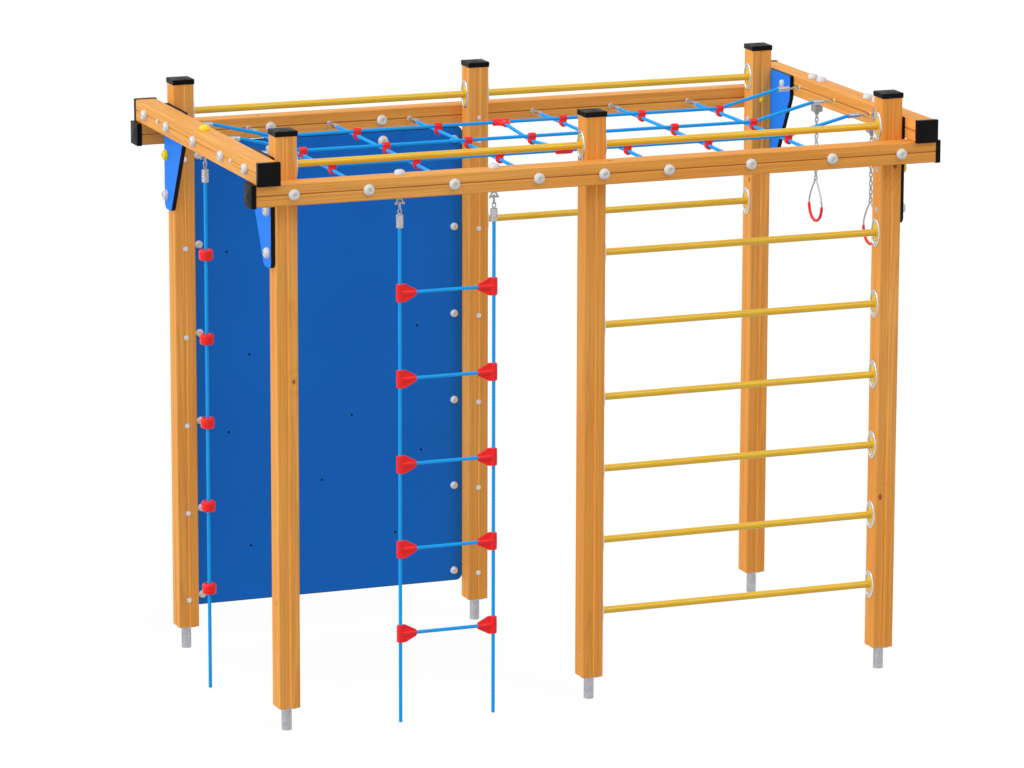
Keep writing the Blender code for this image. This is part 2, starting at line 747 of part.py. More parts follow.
def make_ladder():
    y = -BEAM_Y
    pivot = 0
    for side, right in SIDES.items():
        pivot = shackle(f"ladder_shackle_{side}", LADDER_X + right * LADDER_HALF_WIDTH, y, BEAM_BOTTOM)
    link_top = pivot + SHACKLE_PIN_RADIUS + HINGE_GAP + LINK_WIRE
    link_bottom = link_top - LINK_LENGTH
    ring_top = link_bottom + 2 * LINK_WIRE - LINK_PRESS
    ferrule_top = ring_top - ROPE_RING_LENGTH
    ferrule_low = ferrule_top - FERRULE_LENGTH
    count = int((ferrule_low - TEE_SLEEVE_LENGTH / 2 - LADDER_RUNG_FIRST) / LADDER_RUNG_PITCH) + 1
    heights = [LADDER_RUNG_FIRST + i * LADDER_RUNG_PITCH for i in range(count)]
    ropes, links, rings, tees, rungs = [], [], [], [], []
    for right in SIDES.values():
        x = LADDER_X + right * LADDER_HALF_WIDTH
        ropes.append(
            stepped_tube(
                ((x, y, ROPE_END), (x, y, ferrule_low), (x, y, ferrule_low), (x, y, ferrule_top)),
                (ROPE_RADIUS, ROPE_RADIUS, FERRULE_RADIUS, FERRULE_RADIUS),
                FERRULE_SIDES,
            )
        )
        links.append(link_mesh(link_top, link_bottom, LINK_HALF_WIDTH, LINK_WIRE, lambda u, v: (x, y + u, v)))
        ring_bottom = ferrule_top - LINK_WIRE
        rings.append(link_mesh(ring_top, ring_bottom, LINK_HALF_WIDTH, LINK_WIRE, lambda u, v: (x + u, y, v)))
        for z in heights:
            tees.append(tee(lambda u, v, w: (x - right * u, y + w, z + v)))
    for z in heights:
        start = LADDER_X - LADDER_HALF_WIDTH + TEE_REACH / 2
        end = LADDER_X + LADDER_HALF_WIDTH - TEE_REACH / 2
        rungs.append(tube(((start, y, z), (end, y, z)), ROPE_RADIUS, TEE_SIDES))
    hangers = combined(together(*links), together(*rings))
    ladder = combined(together(*ropes), hangers, together(*tees), together(*rungs))
    finish_mesh("rope_ladder", ladder, blue_rope(), (LADDER_X, y, pivot))


def make_beaded_rope():
    """A shackle, a loose link, and the climbing rope with its moulded beads."""
    x, y = -CROSS_X, 0
    pivot = shackle("rope_shackle", x, y, CROSS_BOTTOM)
    link_top = pivot + SHACKLE_PIN_RADIUS + HINGE_GAP + LINK_WIRE
    link_bottom = link_top - LINK_LENGTH
    link = link_mesh(link_top, link_bottom, LINK_HALF_WIDTH, LINK_WIRE, lambda u, v: (x, y + u, v))
    finish_mesh("rope_link", link, galvanised_steel(), (x, y, pivot))
    ring_top = link_bottom + LINK_WIRE + HINGE_GAP + LINK_WIRE
    ferrule_top = ring_top - ROPE_RING_LENGTH
    ferrule_low = ferrule_top - FERRULE_LENGTH
    count = int((ferrule_low - BEAD_HEIGHT / 2 - BEAD_FIRST) / BEAD_PITCH) + 1
    line = [(ROPE_END, ROPE_RADIUS)]
    for i in range(count):
        z = BEAD_FIRST + i * BEAD_PITCH
        half = BEAD_HEIGHT / 2
        line += [
            (z - half, ROPE_RADIUS),
            (z - half, BEAD_RADIUS - BEAD_ROUNDING),
            (z - half + BEAD_ROUNDING, BEAD_RADIUS),
            (z + half - BEAD_ROUNDING, BEAD_RADIUS),
            (z + half, BEAD_RADIUS - BEAD_ROUNDING),
            (z + half, ROPE_RADIUS),
        ]
    line += [(ferrule_low, ROPE_RADIUS), (ferrule_low, FERRULE_RADIUS), (ferrule_top, FERRULE_RADIUS)]
    rope = stepped_tube([(x, y, z) for z, _ in line], [radius for _, radius in line], ROPE_SIDES)
    ring_bottom = ferrule_top - LINK_WIRE
    ring = link_mesh(ring_top, ring_bottom, LINK_HALF_WIDTH, LINK_WIRE, lambda u, v: (x + u, y, v))
    rope = combined(rope, ring)
    finish_mesh("beaded_rope", rope, blue_rope(), (x, y, link_bottom))


def hanger_mesh(x, y):
    """A swing bearing under the crossbeam. Its eye's lowest wire runs along Y."""
    top = CROSS_BOTTOM - TOUCH
    base_low = top - HANGER_BASE_THICKNESS
    housing_low = base_low - HANGER_HOUSING_HEIGHT
    neck_low = housing_low - HANGER_NECK_HEIGHT
    base = box(
        (x - HANGER_BASE_WIDTH / 2, y - HANGER_BASE_LENGTH / 2, base_low),
        (x + HANGER_BASE_WIDTH / 2, y + HANGER_BASE_LENGTH / 2, top),
    )
    half = HANGER_HOUSING_SIDE / 2
    section = rounded([(a * half, b * half, HANGER_HOUSING_CORNER) for a, b in SQUARE], 2)
    housing_top = base_low + HANGER_BASE_THICKNESS / 2
    housing = extruded(section, housing_low, housing_top, lambda u, v, w: (x + u, y + v, w))
    neck_line = ((x, y, housing_low + HANGER_NECK_SEAT), (x, y, neck_low))
    neck = tube(neck_line, (HANGER_NECK_RADIUS, HANGER_NECK_TIP), HANGER_NECK_SIDES)
    centre = neck_low - HANGER_EYE_RADIUS
    ring = []
    for k in range(HANGER_EYE_STEPS):
        angle = 2 * math.pi * k / HANGER_EYE_STEPS
        across, down = HANGER_EYE_RADIUS * math.sin(angle), HANGER_EYE_RADIUS * math.cos(angle)
        ring.append((x, y + across, centre - down))
    eye = tube(ring, HANGER_EYE_WIRE, WIRE_SIDES, closed=True)
    return combined(base, housing, neck, eye), centre - HANGER_EYE_RADIUS


def chain_mesh(x, y, top):
    """Links that hang in each other. Each presses a little into the next, as one solid."""
    half = CHAIN_INNER_HALF_WIDTH + CHAIN_WIRE
    step = CHAIN_INNER_LENGTH + CHAIN_PRESS
    length = CHAIN_INNER_LENGTH + 2 * CHAIN_WIRE
    odd, even = [], []
    for i in range(CHAIN_LINKS):
        high = top - i * step
        if i % 2:
            odd.append(link_mesh(high, high - length, half, CHAIN_WIRE, lambda u, v: (x, y + u, v)))
        else:
            even.append(link_mesh(high, high - length, half, CHAIN_WIRE, lambda u, v: (x + u, y, v)))
    low = top - (CHAIN_LINKS - 1) * step - length
    return combined(together(*even), together(*odd)), low


def ring_mesh(x, y, top):
    """The teardrop of steel rod that hangs in the last link, with its moulded grip below."""
    apex = top - RING_APEX_RADIUS
    low = top - RING_HEIGHT
    bow = low + RING_BOW_HEIGHT
    points, radii = [], []
    arc_steps, side_steps, bow_steps = 4, 4, 12
    for k in range(arc_steps + 1):
        angle = math.radians(RING_APEX_FROM + RING_APEX_SWEEP * k / arc_steps)
        points.append((RING_APEX_RADIUS * math.cos(angle), apex + RING_APEX_RADIUS * math.sin(angle)))
        radii.append(RING_WIRE)
    first, last = Vector(points[-1]), Vector((-RING_HALF_WIDTH, bow))
    lead = Vector((-RING_SHOULDER_OUT, -RING_SHOULDER_DOWN))
    trail = Vector((0, -RING_SIDE_DOWN))
    side = []
    for k in range(1, side_steps):
        t = k / side_steps
        a, b = 2 * t**3 - 3 * t**2 + 1, t**3 - 2 * t**2 + t
        c, d = -2 * t**3 + 3 * t**2, t**3 - t**2
        side.append(first * a + lead * b + last * c + trail * d)
    points += [tuple(p) for p in side]
    radii += [RING_WIRE] * len(side)
    for k in range(bow_steps + 1):
        angle = math.pi + math.pi * k / bow_steps
        points.append((RING_HALF_WIDTH * math.cos(angle), bow + RING_BOW_HEIGHT * math.sin(angle)))
        radii.append(RING_WIRE if k in (0, bow_steps) else RING_GRIP)
    points += [(-p.x, p.y) for p in reversed(side)]
    radii += [RING_WIRE] * len(side)
    return tube([(x, y + u, v) for u, v in points], radii, WIRE_SIDES, closed=True)


def make_swing_rings():
    x = CROSS_X
    for row, back in ROWS.items():
        y = back * RING_SPACING / 2
        hanger, pivot = hanger_mesh(x, y)
        finish_mesh(f"ring_hanger_{row}", hanger, galvanised_steel(), (x, y, CROSS_BOTTOM))
        chain_top = pivot + HANGER_EYE_WIRE + HINGE_GAP + CHAIN_WIRE
        chain, low = chain_mesh(x, y, chain_top)
        finish_mesh(f"ring_chain_{row}", chain, galvanised_steel(), (x, y, pivot))
        ring_top = low + CHAIN_WIRE + HINGE_GAP + RING_WIRE
        ring = ring_mesh(x, y, ring_top)
        finish_mesh(f"swing_ring_{row}", ring, red_plastic(), (x, y, low))


clear_scene()
make_posts()
make_beams()
make_gussets()
make_panel()
make_bars()
make_net()
make_ladder()
make_beaded_rope()
make_swing_rings()
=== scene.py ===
"""A timber climbing frame for a playground, dressed piece by piece over its fixed frame.

Metres, +Z up. X runs along the long beams, -Y is the front, and the ground is z = 0.
"""

import math

import bmesh
import bpy
from mathutils import Matrix, Vector


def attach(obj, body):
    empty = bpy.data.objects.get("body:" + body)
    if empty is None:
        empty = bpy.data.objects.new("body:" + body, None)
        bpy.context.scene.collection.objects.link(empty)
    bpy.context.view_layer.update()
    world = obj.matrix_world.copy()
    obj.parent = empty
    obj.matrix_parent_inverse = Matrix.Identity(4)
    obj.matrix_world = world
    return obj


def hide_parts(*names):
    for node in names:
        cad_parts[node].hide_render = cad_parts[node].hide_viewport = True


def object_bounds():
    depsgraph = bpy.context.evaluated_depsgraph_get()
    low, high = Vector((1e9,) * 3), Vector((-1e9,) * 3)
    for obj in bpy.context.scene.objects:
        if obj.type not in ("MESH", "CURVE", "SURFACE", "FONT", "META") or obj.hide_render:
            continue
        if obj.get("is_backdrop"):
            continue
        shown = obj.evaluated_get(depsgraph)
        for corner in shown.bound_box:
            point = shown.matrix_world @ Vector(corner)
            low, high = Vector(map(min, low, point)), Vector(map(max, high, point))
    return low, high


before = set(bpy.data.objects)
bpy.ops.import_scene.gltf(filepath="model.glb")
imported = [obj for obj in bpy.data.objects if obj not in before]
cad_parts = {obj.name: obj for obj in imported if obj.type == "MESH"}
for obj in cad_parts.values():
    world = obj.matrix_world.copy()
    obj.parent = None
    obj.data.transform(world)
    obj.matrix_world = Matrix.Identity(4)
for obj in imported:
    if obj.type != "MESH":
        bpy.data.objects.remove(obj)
cad_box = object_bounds()

# The camera stands in front and to the left, a little above the top of the frame. Its long lens
# keeps the posts nearly parallel.
camera_place = Vector((-9.1757, -23.4624, 7.0259))
camera_yaw, camera_pitch, camera_roll = (math.radians(a) for a in (21.149, 12.628, 0.159))
camera_lens = 185.81

forward = Vector(
    (
        math.sin(camera_yaw) * math.cos(camera_pitch),
        math.cos(camera_yaw) * math.cos(camera_pitch),
        -math.sin(camera_pitch),
    )
)
level = Vector((math.cos(camera_yaw), -math.sin(camera_yaw), 0))
upward = level.cross(forward)
to_right = level * math.cos(camera_roll) + upward * math.sin(camera_roll)
to_top = upward * math.cos(camera_roll) - level * math.sin(camera_roll)
camera = bpy.data.objects.new("camera", bpy.data.cameras.new("camera"))
camera.data.lens = camera_lens
camera.data.sensor_width = 36
camera.data.clip_end = 300
bearing = Matrix((to_right, to_top, -forward)).transposed()
camera.matrix_world = Matrix.Translation(camera_place) @ bearing.to_4x4()
bpy.context.scene.collection.objects.link(camera)
bpy.context.scene.camera = camera
bpy.context.scene.view_settings.view_transform = "Standard"


# The climbing rope: six strands of blue polypropylene yarn laid round a steel core, 18 mm thick.
# An aluminium sleeve presses its top end into an eye, five red beads are moulded on as steps,
# and its cut lower end hangs just clear of the ground.
rope_radius = 0.0088
rope_valley = 0.93
rope_strands = 6
rope_lay = 0.104
rope_ring_step = 0.008
points_per_strand = 4
rope_steps = 24
crossbeam_x = 1.6571
climbing_rope_end = 0.010
climbing_rope_top = 2.489
bead_heights = (0.504, 0.913, 1.322, 1.731, 2.140)
bead_radius = 0.034
bead_height = 0.052
bead_corner = 0.011
rope_eye_top, rope_eye_tip = 2.589, 2.549
rope_eye_half_width = 0.0080
eye_wire = 0.0028
ferrule_radius = 0.017
ferrule_length = 0.062


class Tone:
    """A value in a tree of nodes. Arithmetic on it adds Math nodes."""

    def __init__(self, shading, socket):
        self.shading = shading
        self.socket = socket

    def worked(self, operation, first, second):
        return self.shading.node("ShaderNodeMath", {"operation": operation}, {0: first, 1: second})

    def __add__(self, other):
        return self.worked("ADD", self, other)

    __radd__ = __add__

    def __sub__(self, other):
        return self.worked("SUBTRACT", self, other)

    def __rsub__(self, other):
        return self.worked("SUBTRACT", other, self)

    def __mul__(self, other):
        return self.worked("MULTIPLY", self, other)

    __rmul__ = __mul__

    def __truediv__(self, other):
        return self.worked("DIVIDE", self, other)

    def __rtruediv__(self, other):
        return self.worked("DIVIDE", other, self)

    def __pow__(self, other):
        return self.worked("POWER", self, other)

    def __rpow__(self, other):
        return self.worked("POWER", other, self)

    def __gt__(self, other):
        return self.worked("GREATER_THAN", self, other)

    def __lt__(self, other):
        return self.worked("LESS_THAN", self, other)


class Shading:
    """A tree of nodes, for a finish or for the sky."""

    def __init__(self, owner):
        owner.use_nodes = True
        self.tree = owner.node_tree

    def node(self, kind, settings, inputs, output=0):
        node = self.tree.nodes.new(kind)
        for key, value in settings.items():
            setattr(node, key, value)
        for key, value in inputs.items():
            self.feed(node.inputs[key], value)
        return Tone(self, node.outputs[output])

    def feed(self, socket, value):
        if isinstance(value, Tone):
            self.tree.links.new(value.socket, socket)
        elif isinstance(value, tuple) and len(value) == 3 and socket.type == "RGBA":
            socket.default_value = (*value, 1.0)
        else:
            socket.default_value = value

    def spread(self, value, low, high, to_low=0.0, to_high=1.0):
        """A value brought from one range to another, and kept inside it."""
        inputs = {"Value": value, 1: low, 2: high, 3: to_low, 4: to_high}
        return self.node("ShaderNodeMapRange", {}, inputs)


class Finish(Shading):
    """A material made of nodes round one shader."""

    def __init__(self, name, **uniform):
        self.material = bpy.data.materials.new(name)
        super().__init__(self.material)
        self.shader = self.tree.nodes["Principled BSDF"]
        self.place = self.node("ShaderNodeTexCoord", {}, {}, "Object")
        self.surface(**uniform)

    def surface(self, **sockets):
        for name, value in sockets.items():
            self.feed(self.shader.inputs[name.replace("_", " ")], value)

    def scaled(self, x, y, z):
        """The place in the object, stretched for a texture."""
        return self.node("ShaderNodeVectorMath", {"operation": "MULTIPLY"}, {0: self.place, 1: (x, y, z)})

    def noise(self, where, scale=1.0, detail=2.0, roughness=0.5):
        inputs = {"Vector": where, "Scale": scale, "Detail": detail, "Roughness": roughness}
        return self.node("ShaderNodeTexNoise", {}, inputs)

    def mixed(self, amount, first, second):
        inputs = {0: amount, 6: first, 7: second}
        return self.node("ShaderNodeMix", {"data_type": "RGBA"}, inputs, 2)

    def bumped(self, height, distance, strength):
        inputs = {"Strength": strength, "Distance": distance, "Height": height}
        self.surface(Normal=self.node("ShaderNodeBump", {}, inputs))

    def clouded(self, scale, first, second, roughness, rougher):
        """A colour and a roughness that drift in soft clouds, which it gives back."""
        cloud = self.noise(self.place, scale, 4.0)
        self.surface(Base_Color=self.mixed(cloud, first, second), Roughness=roughness + cloud * rougher)
        return cloud


def section(centre, across, beside, radius, sides):
    """A circle of points round a centre."""
    angles = [2 * math.pi * (k + 0.5) / sides for k in range(sides)]
    return [centre + (across * math.cos(a) + beside * math.sin(a)) * radius for a in angles]


def skin(bm, rings, closed=False, ends=True):
    """Faces between rings of points in turn, and over both ends. A ring of one point is a tip."""
    made = [[bm.verts.new(p) for p in ring] for ring in rings]
    for near, far in zip(made, made[1:] + made[:1] if closed else made[1:]):
        for i in range(max(len(near), len(far))):
            j = i + 1
            corners = (near[i % len(near)], near[j % len(near)], far[j % len(far)], far[i % len(far)])
            bm.faces.new(list(dict.fromkeys(corners)))
    for ring in (made[0], made[-1]) if ends and not closed else ():
        if len(ring) > 2:
            bm.faces.new(ring)
    return made


def turned(bm, foot, way, profile, sides):
    """A solid turned about a line. Its profile gives the distance along the line and the radius."""
    way = Vector(way).normalized()
    across = way.orthogonal().normalized()
    beside = way.cross(across)
    rings = []
    for along, radius in profile:
        centre = Vector(foot) + way * along
        rings.append(section(centre, across, beside, radius, sides) if radius else [centre])
    skin(bm, rings)


def squared(points, closed=False):
    """Each point of a line, with two ways square to the line that are carried along without a twist."""
    count = len(points)
    across = None
    for i, point in enumerate(points):
        if closed:
            along = (points[(i + 1) % count] - points[i - 1]).normalized()
        else:
            along = (points[min(i + 1, count - 1)] - points[max(i - 1, 0)]).normalized()
        across = along.orthogonal() if across is None else across - along * across.dot(along)
        across.normalize()
        yield point, across, along.cross(across)


def bar(bm, points, radii, sides, closed=False):
    """A round bar along points, with one radius or a radius at each."""
    points = [Vector(p) for p in points]
    radii = radii if hasattr(radii, "__len__") else [radii] * len(points)
    rings = [section(*place, radius, sides) for place, radius in zip(squared(points, closed), radii)]
    skin(bm, rings, closed)


def piece(name, bm, finish, body, creased=35):
    """The finished mesh as a piece of the object, on the body that carries it."""
    bmesh.ops.recalc_face_normals(bm, faces=bm.faces)
    mesh = bpy.data.meshes.new(name)
    bm.to_mesh(mesh)
    bm.free()
    mesh.shade_smooth()
    mesh.set_sharp_from_angle(angle=math.radians(creased))
    mesh.materials.append(finish.material)
    made = bpy.data.objects.new(name, mesh)
    bpy.context.scene.collection.objects.link(made)
    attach(made, body)
    return made


def laid_rope(bm, points, crown):
    """A rope of twisted strands along points, which crown marks with each strand's height."""
    points = [Vector(p) for p in points]
    fine = [points[0]]
    for near, far in zip(points, points[1:]):
        steps = max(1, round((far - near).length / rope_ring_step))
        fine += [near.lerp(far, k / steps) for k in range(1, steps + 1)]
    sides = rope_strands * points_per_strand
    rings, heights, walked = [], [], 0.0
    for i, (point, across, beside) in enumerate(squared(fine)):
        walked += (point - fine[i - 1]).length if i else 0.0
        ring = []
        for k in range(sides):
            height = abs(math.cos(math.pi * k / points_per_strand))
            angle = 2 * math.pi * (k / sides + walked / rope_lay)
            way = across * math.cos(angle) + beside * math.sin(angle)
            ring.append(point + way * rope_radius * (rope_valley + (1 - rope_valley) * height))
            heights.append(height)
        rings.append(ring)
    made = skin(bm, rings)
    for vertex, height in zip((v for ring in made for v in ring), heights):
        vertex[crown] = height


def rope_piece(name, runs, body):
    """Ropes along runs of points, as one piece."""
    bm = bmesh.new()
    crown = bm.verts.layers.float.new("crown")
    for run in runs:
        laid_rope(bm, run, crown)
    return piece(name, bm, rope_finish, body, creased=80)


def plumb(x, y, top, end):
    """The points of a rope that hangs straight down."""
    return [(x, y, top + (end - top) * k / rope_steps) for k in range(rope_steps + 1)]


rope_blue = (0.004, 0.41, 1.0)
rope_shadow = (0.004, 0.25, 0.72)
rope_finish = Finish("blue_rope_yarn", Roughness=0.50, Specular_IOR_Level=0.2)
crown_height = rope_finish.node("ShaderNodeAttribute", {"attribute_name": "crown"}, {}, "Fac")
yarn = rope_finish.noise(rope_finish.scaled(900, 900, 160), 1.0, 3.0, 0.6)
rope_tone = rope_finish.spread(crown_height * 0.8 + yarn * 0.4, 0.1, 0.9)
rope_finish.surface(Base_Color=rope_finish.mixed(rope_tone, rope_shadow, rope_blue))
rope_finish.bumped(yarn, 0.0004, 0.6)

red = (0.90, 0.012, 0.013)
red_worn = (0.80, 0.018, 0.017)
red_finish = Finish("red_moulded_plastic", Roughness=0.33, Specular_IOR_Level=0.3)
moulding = red_finish.noise(red_finish.place, 260.0, 3.0)
handling = red_finish.spread(red_finish.noise(red_finish.place, 21.0, 4.0), 0.42, 0.72)
red_finish.surface(Base_Color=red_finish.mixed(handling * 0.5, red, red_worn))
red_finish.surface(Roughness=0.30 + handling * 0.14)
red_finish.bumped(moulding, 0.0003, 0.35)

aluminium_finish = Finish("pressed_aluminium", Metallic=1.0)
press_marks = aluminium_finish.noise(aluminium_finish.scaled(420, 420, 40), 1.0, 3.0)
dulled = aluminium_finish.spread(aluminium_finish.noise(aluminium_finish.place, 55.0, 4.0), 0.35, 0.7)
aluminium_finish.surface(Base_Color=aluminium_finish.mixed(dulled, (0.42, 0.42, 0.43), (0.56, 0.55, 0.54)))
aluminium_finish.surface(Roughness=0.34 + press_marks * 0.18)
aluminium_finish.bumped(press_marks, 0.0002, 0.4)

steel_finish = Finish("galvanised_steel", Metallic=1.0)
spangles = {"Vector": steel_finish.place, "Scale": 150.0}
spangle = steel_finish.node("ShaderNodeTexVoronoi", {"feature": "F1"}, spangles, "Color")
spangle_tone = steel_finish.node("ShaderNodeRGBToBW", {}, {0: spangle})
clouding = steel_finish.noise(steel_finish.place, 30.0, 4.0)
zinc_tone = steel_finish.spread(spangle_tone * 0.5 + clouding * 0.8, 0.35, 0.9)
steel_finish.surface(Base_Color=steel_finish.mixed(zinc_tone, (0.34, 0.35, 0.37), (0.50, 0.51, 0.53)))
steel_finish.surface(Roughness=0.32 + clouding * 0.22)
steel_finish.bumped(spangle_tone, 0.0001, 0.25)


def ferrule_shape(bm, low, way, length, radius):
    """A sleeve pressed round a rope: rolled edges, and two shallow bands from the press."""
    edge, band, dent = 0.0025, length / 4, radius * 0.05
    profile = [(0, radius - edge), (edge * 0.3, radius - edge * 0.3), (edge, radius)]
    for middle in (band, length / 2, length - band):
        profile += [(middle - edge, radius), (middle, radius - dent), (middle + edge, radius)]
    profile += [(length - edge, radius), (length - edge * 0.3, radius - edge * 0.3), (length, radius - edge)]
    turned(bm, low, way, profile, 28)


def loop_points(top, bottom, half_width, place, arc):
    """The centreline of a long link, from its top round to its sides and bottom."""
    points = []
    for centre, start in ((top - half_width, 0), (bottom + half_width, math.pi)):
        for k in range(arc + 1):
            angle = start + math.pi * k / arc
            points.append(place(half_width * math.cos(angle), centre + half_width * math.sin(angle)))
    return points


def eye_points(top, tip, half_width, place, arc=12):
    """The centreline of a rope's eye: round at its top, and drawn together where the sleeve takes it."""
    points = []
    for k in range(arc + 1):
        angle = math.radians(-25 + 230 * k / arc)
        points.append(place(half_width * math.cos(angle), top - half_width + half_width * math.sin(angle)))
    return points + [place(-eye_wire, tip), place(eye_wire, tip)]


def bead_shape(bm, x, y, z):
    """A drum of two moulded halves, with rounded shoulders and a dish where the rope goes in."""
    half = bead_height / 2
    profile = [(-half + 0.006, rope_radius * 0.9), (-half + 0.001, rope_radius + 0.005)]
    profile += [(-half, rope_radius + 0.009)]
    for k in range(6):
        angle = math.radians(90 * k / 5)
        out = bead_radius - bead_corner + bead_corner * math.sin(angle)
        profile.append((-half + bead_corner - bead_corner * math.cos(angle), out))
    profile += [(-0.0011, bead_radius), (-0.0005, bead_radius - 0.0007)]
    profile += [(-along, radius) for along, radius in reversed(profile)]
    turned(bm, (x, y, z), (0, 0, 1), profile, 40)
    for around in (45, 165, 285):
        way = Vector((math.cos(math.radians(around)), math.sin(math.radians(around)), 0))
        foot = Vector((x, y, z + half * 0.42)) + way * (bead_radius - 0.004)
        turned(bm, foot, way, [(0, 0.0042), (0.0046, 0.0042), (0.0052, 0.0034), (0.0052, 0)], 16)


rope_x, rope_y = -crossbeam_x, 0.0
line = plumb(rope_x, rope_y, climbing_rope_top, climbing_rope_end)
rope = rope_piece("climbing_rope", [line], "climbing_rope")
bm = bmesh.new()
for z in bead_heights:
    bead_shape(bm, rope_x, rope_y, z)
beads = piece("climbing_rope_beads", bm, red_finish, "climbing_rope")
bm = bmesh.new()
ferrule_shape(bm, (rope_x, rope_y, climbing_rope_top), (0, 0, 1), ferrule_length, ferrule_radius)
ferrule = piece("climbing_rope_ferrule", bm, aluminium_finish, "climbing_rope")
bm = bmesh.new()
eye = eye_points(rope_eye_top, rope_eye_tip, rope_eye_half_width, lambda u, v: (rope_x + u, rope_y, v))
bar(bm, eye, eye_wire, 12, closed=True)
loop = piece("climbing_rope_eye", bm, steel_finish, "climbing_rope")
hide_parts("beaded_rope")


# Shackles: a washer and a threaded neck under the beam, a bow of bent rod, and a pin that runs
# through both its ends, with a round head on the left and a yellow zinc plated nut on the right.
# A short welded chain link hangs on each pin.
beam_y = 0.8798
beam_underside = 2.532
crossbeam_underside = 2.6363
ladder_middle_x = -0.7655
ladder_half_width = 0.2335
pin_drop = 0.030
pin_radius = 0.004
bow_half_width = 0.0135
bow_rod = 0.0044
link_rod = 0.003
link_half_width = 0.0080
rope_link_top, rope_link_low = 2.6135, 2.5825

zinc_finish = Finish("yellow_zinc_plate", Metallic=1.0)
zinc_finish.clouded(130.0, (0.48, 0.42, 0.20), (0.66, 0.60, 0.36), 0.30, 0.2)


def shackle(name, x, y, underside, node):
    top = underside - 0.0003
    pin_z = top - pin_drop
    half = bow_half_width
    bm = bmesh.new()
    washer = [(0, 0.0145), (0.0006, 0.0158), (0.0034, 0.0158), (0.004, 0.0148)]
    turned(bm, (x, y, top), (0, 0, -1), washer, 28)
    neck = [(0.004, 0.0075), (0.0055, 0.0075), (0.006, 0.006), (0.0085, 0.006), (0.0095, 0.0048)]
    turned(bm, (x, y, top), (0, 0, -1), neck, 20)
    bow = [(x + half, y, pin_z - 0.004), (x + half, y, pin_z + 0.002)]
    for k in range(13):
        angle = math.pi * k / 12
        bow.append((x + half * math.cos(angle), y, pin_z + 0.008 + half * math.sin(angle)))
    bow += [(x - half, y, pin_z + 0.002), (x - half, y, pin_z - 0.004)]
    bar(bm, bow, [0.0060, 0.0056] + [bow_rod] * 13 + [0.0056, 0.0060], 14)
    pin_head = [(0, 0), (0.0004, 0.0055), (0.0014, 0.0072), (0.0055, 0.0072)]
    turned(bm, (x - half - 0.0095, y, pin_z), (1, 0, 0), pin_head, 24)
    turned(bm, (x - half - 0.004, y, pin_z), (1, 0, 0), [(0, pin_radius), (2 * half + 0.008, pin_radius)], 20)
    body = piece(name, bm, steel_finish, "frame")
    bm = bmesh.new()
    nut = [(0, 0.0068), (0.0006, 0.0074), (0.0049, 0.0074), (0.0055, 0.0068)]
    turned(bm, (x + half + 0.0038, y, pin_z), (1, 0, 0), nut, 6)
    piece(name + "_nut", bm, zinc_finish, "frame")
    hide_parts(node)


def link_shape(bm, x, y, top, bottom, half_width, rod, flat_to_front, arc=10, sides=12):
    """A welded link that hangs upright, flat to the front or turned by a quarter."""
    ways = (1, 0) if flat_to_front else (0, 1)
    points = loop_points(top, bottom, half_width, lambda u, v: (x + u * ways[0], y + u * ways[1], v), arc)
    bar(bm, points, rod, sides, closed=True)


def link_piece(name, x, y, top, bottom, body, flat_to_front):
    bm = bmesh.new()
    link_shape(bm, x, y, top, bottom, link_half_width, link_rod, flat_to_front)
    return piece(name, bm, steel_finish, body)


for side, right in (("left", -1), ("right", 1)):
    shackle_x = ladder_middle_x + right * ladder_half_width
    shackle(f"ladder_shackle_{side}_bow", shackle_x, -beam_y, beam_underside, f"ladder_shackle_{side}")
shackle("rope_shackle_bow", rope_x, rope_y, crossbeam_underside, "rope_shackle")
rope_link = link_piece("climbing_rope_link", rope_x, rope_y, rope_link_top, rope_link_low, "link", False)
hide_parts("rope_link")


# The rope ladder: two side ropes of the same steel cored rope, five rope rungs, and at each crossing
# a red moulded T connector, whose sleeve grips the side rope and whose barrel takes the rung.
# Each side rope hangs by a pressed sleeve and two links.
side_rope_top = 2.385
side_rope_end = 0.010
rung_heights = (0.441, 0.850, 1.259, 1.668, 2.077)
sleeve_length = 0.086
barrel_reach = 0.080
web_half_thickness = 0.0045
rim_half_width, rim_half_height = 0.0026, 0.0078
rim_outline = ((-1, -0.8), (-1, 0.8), (-0.8, 1), (0.8, 1), (1, 0.8), (1, -0.8), (0.8, -1), (-0.8, -1))
ladder_link_top, ladder_link_low = 2.5092, 2.4690
ladder_eye_top, ladder_eye_low = 2.4750, 2.4505


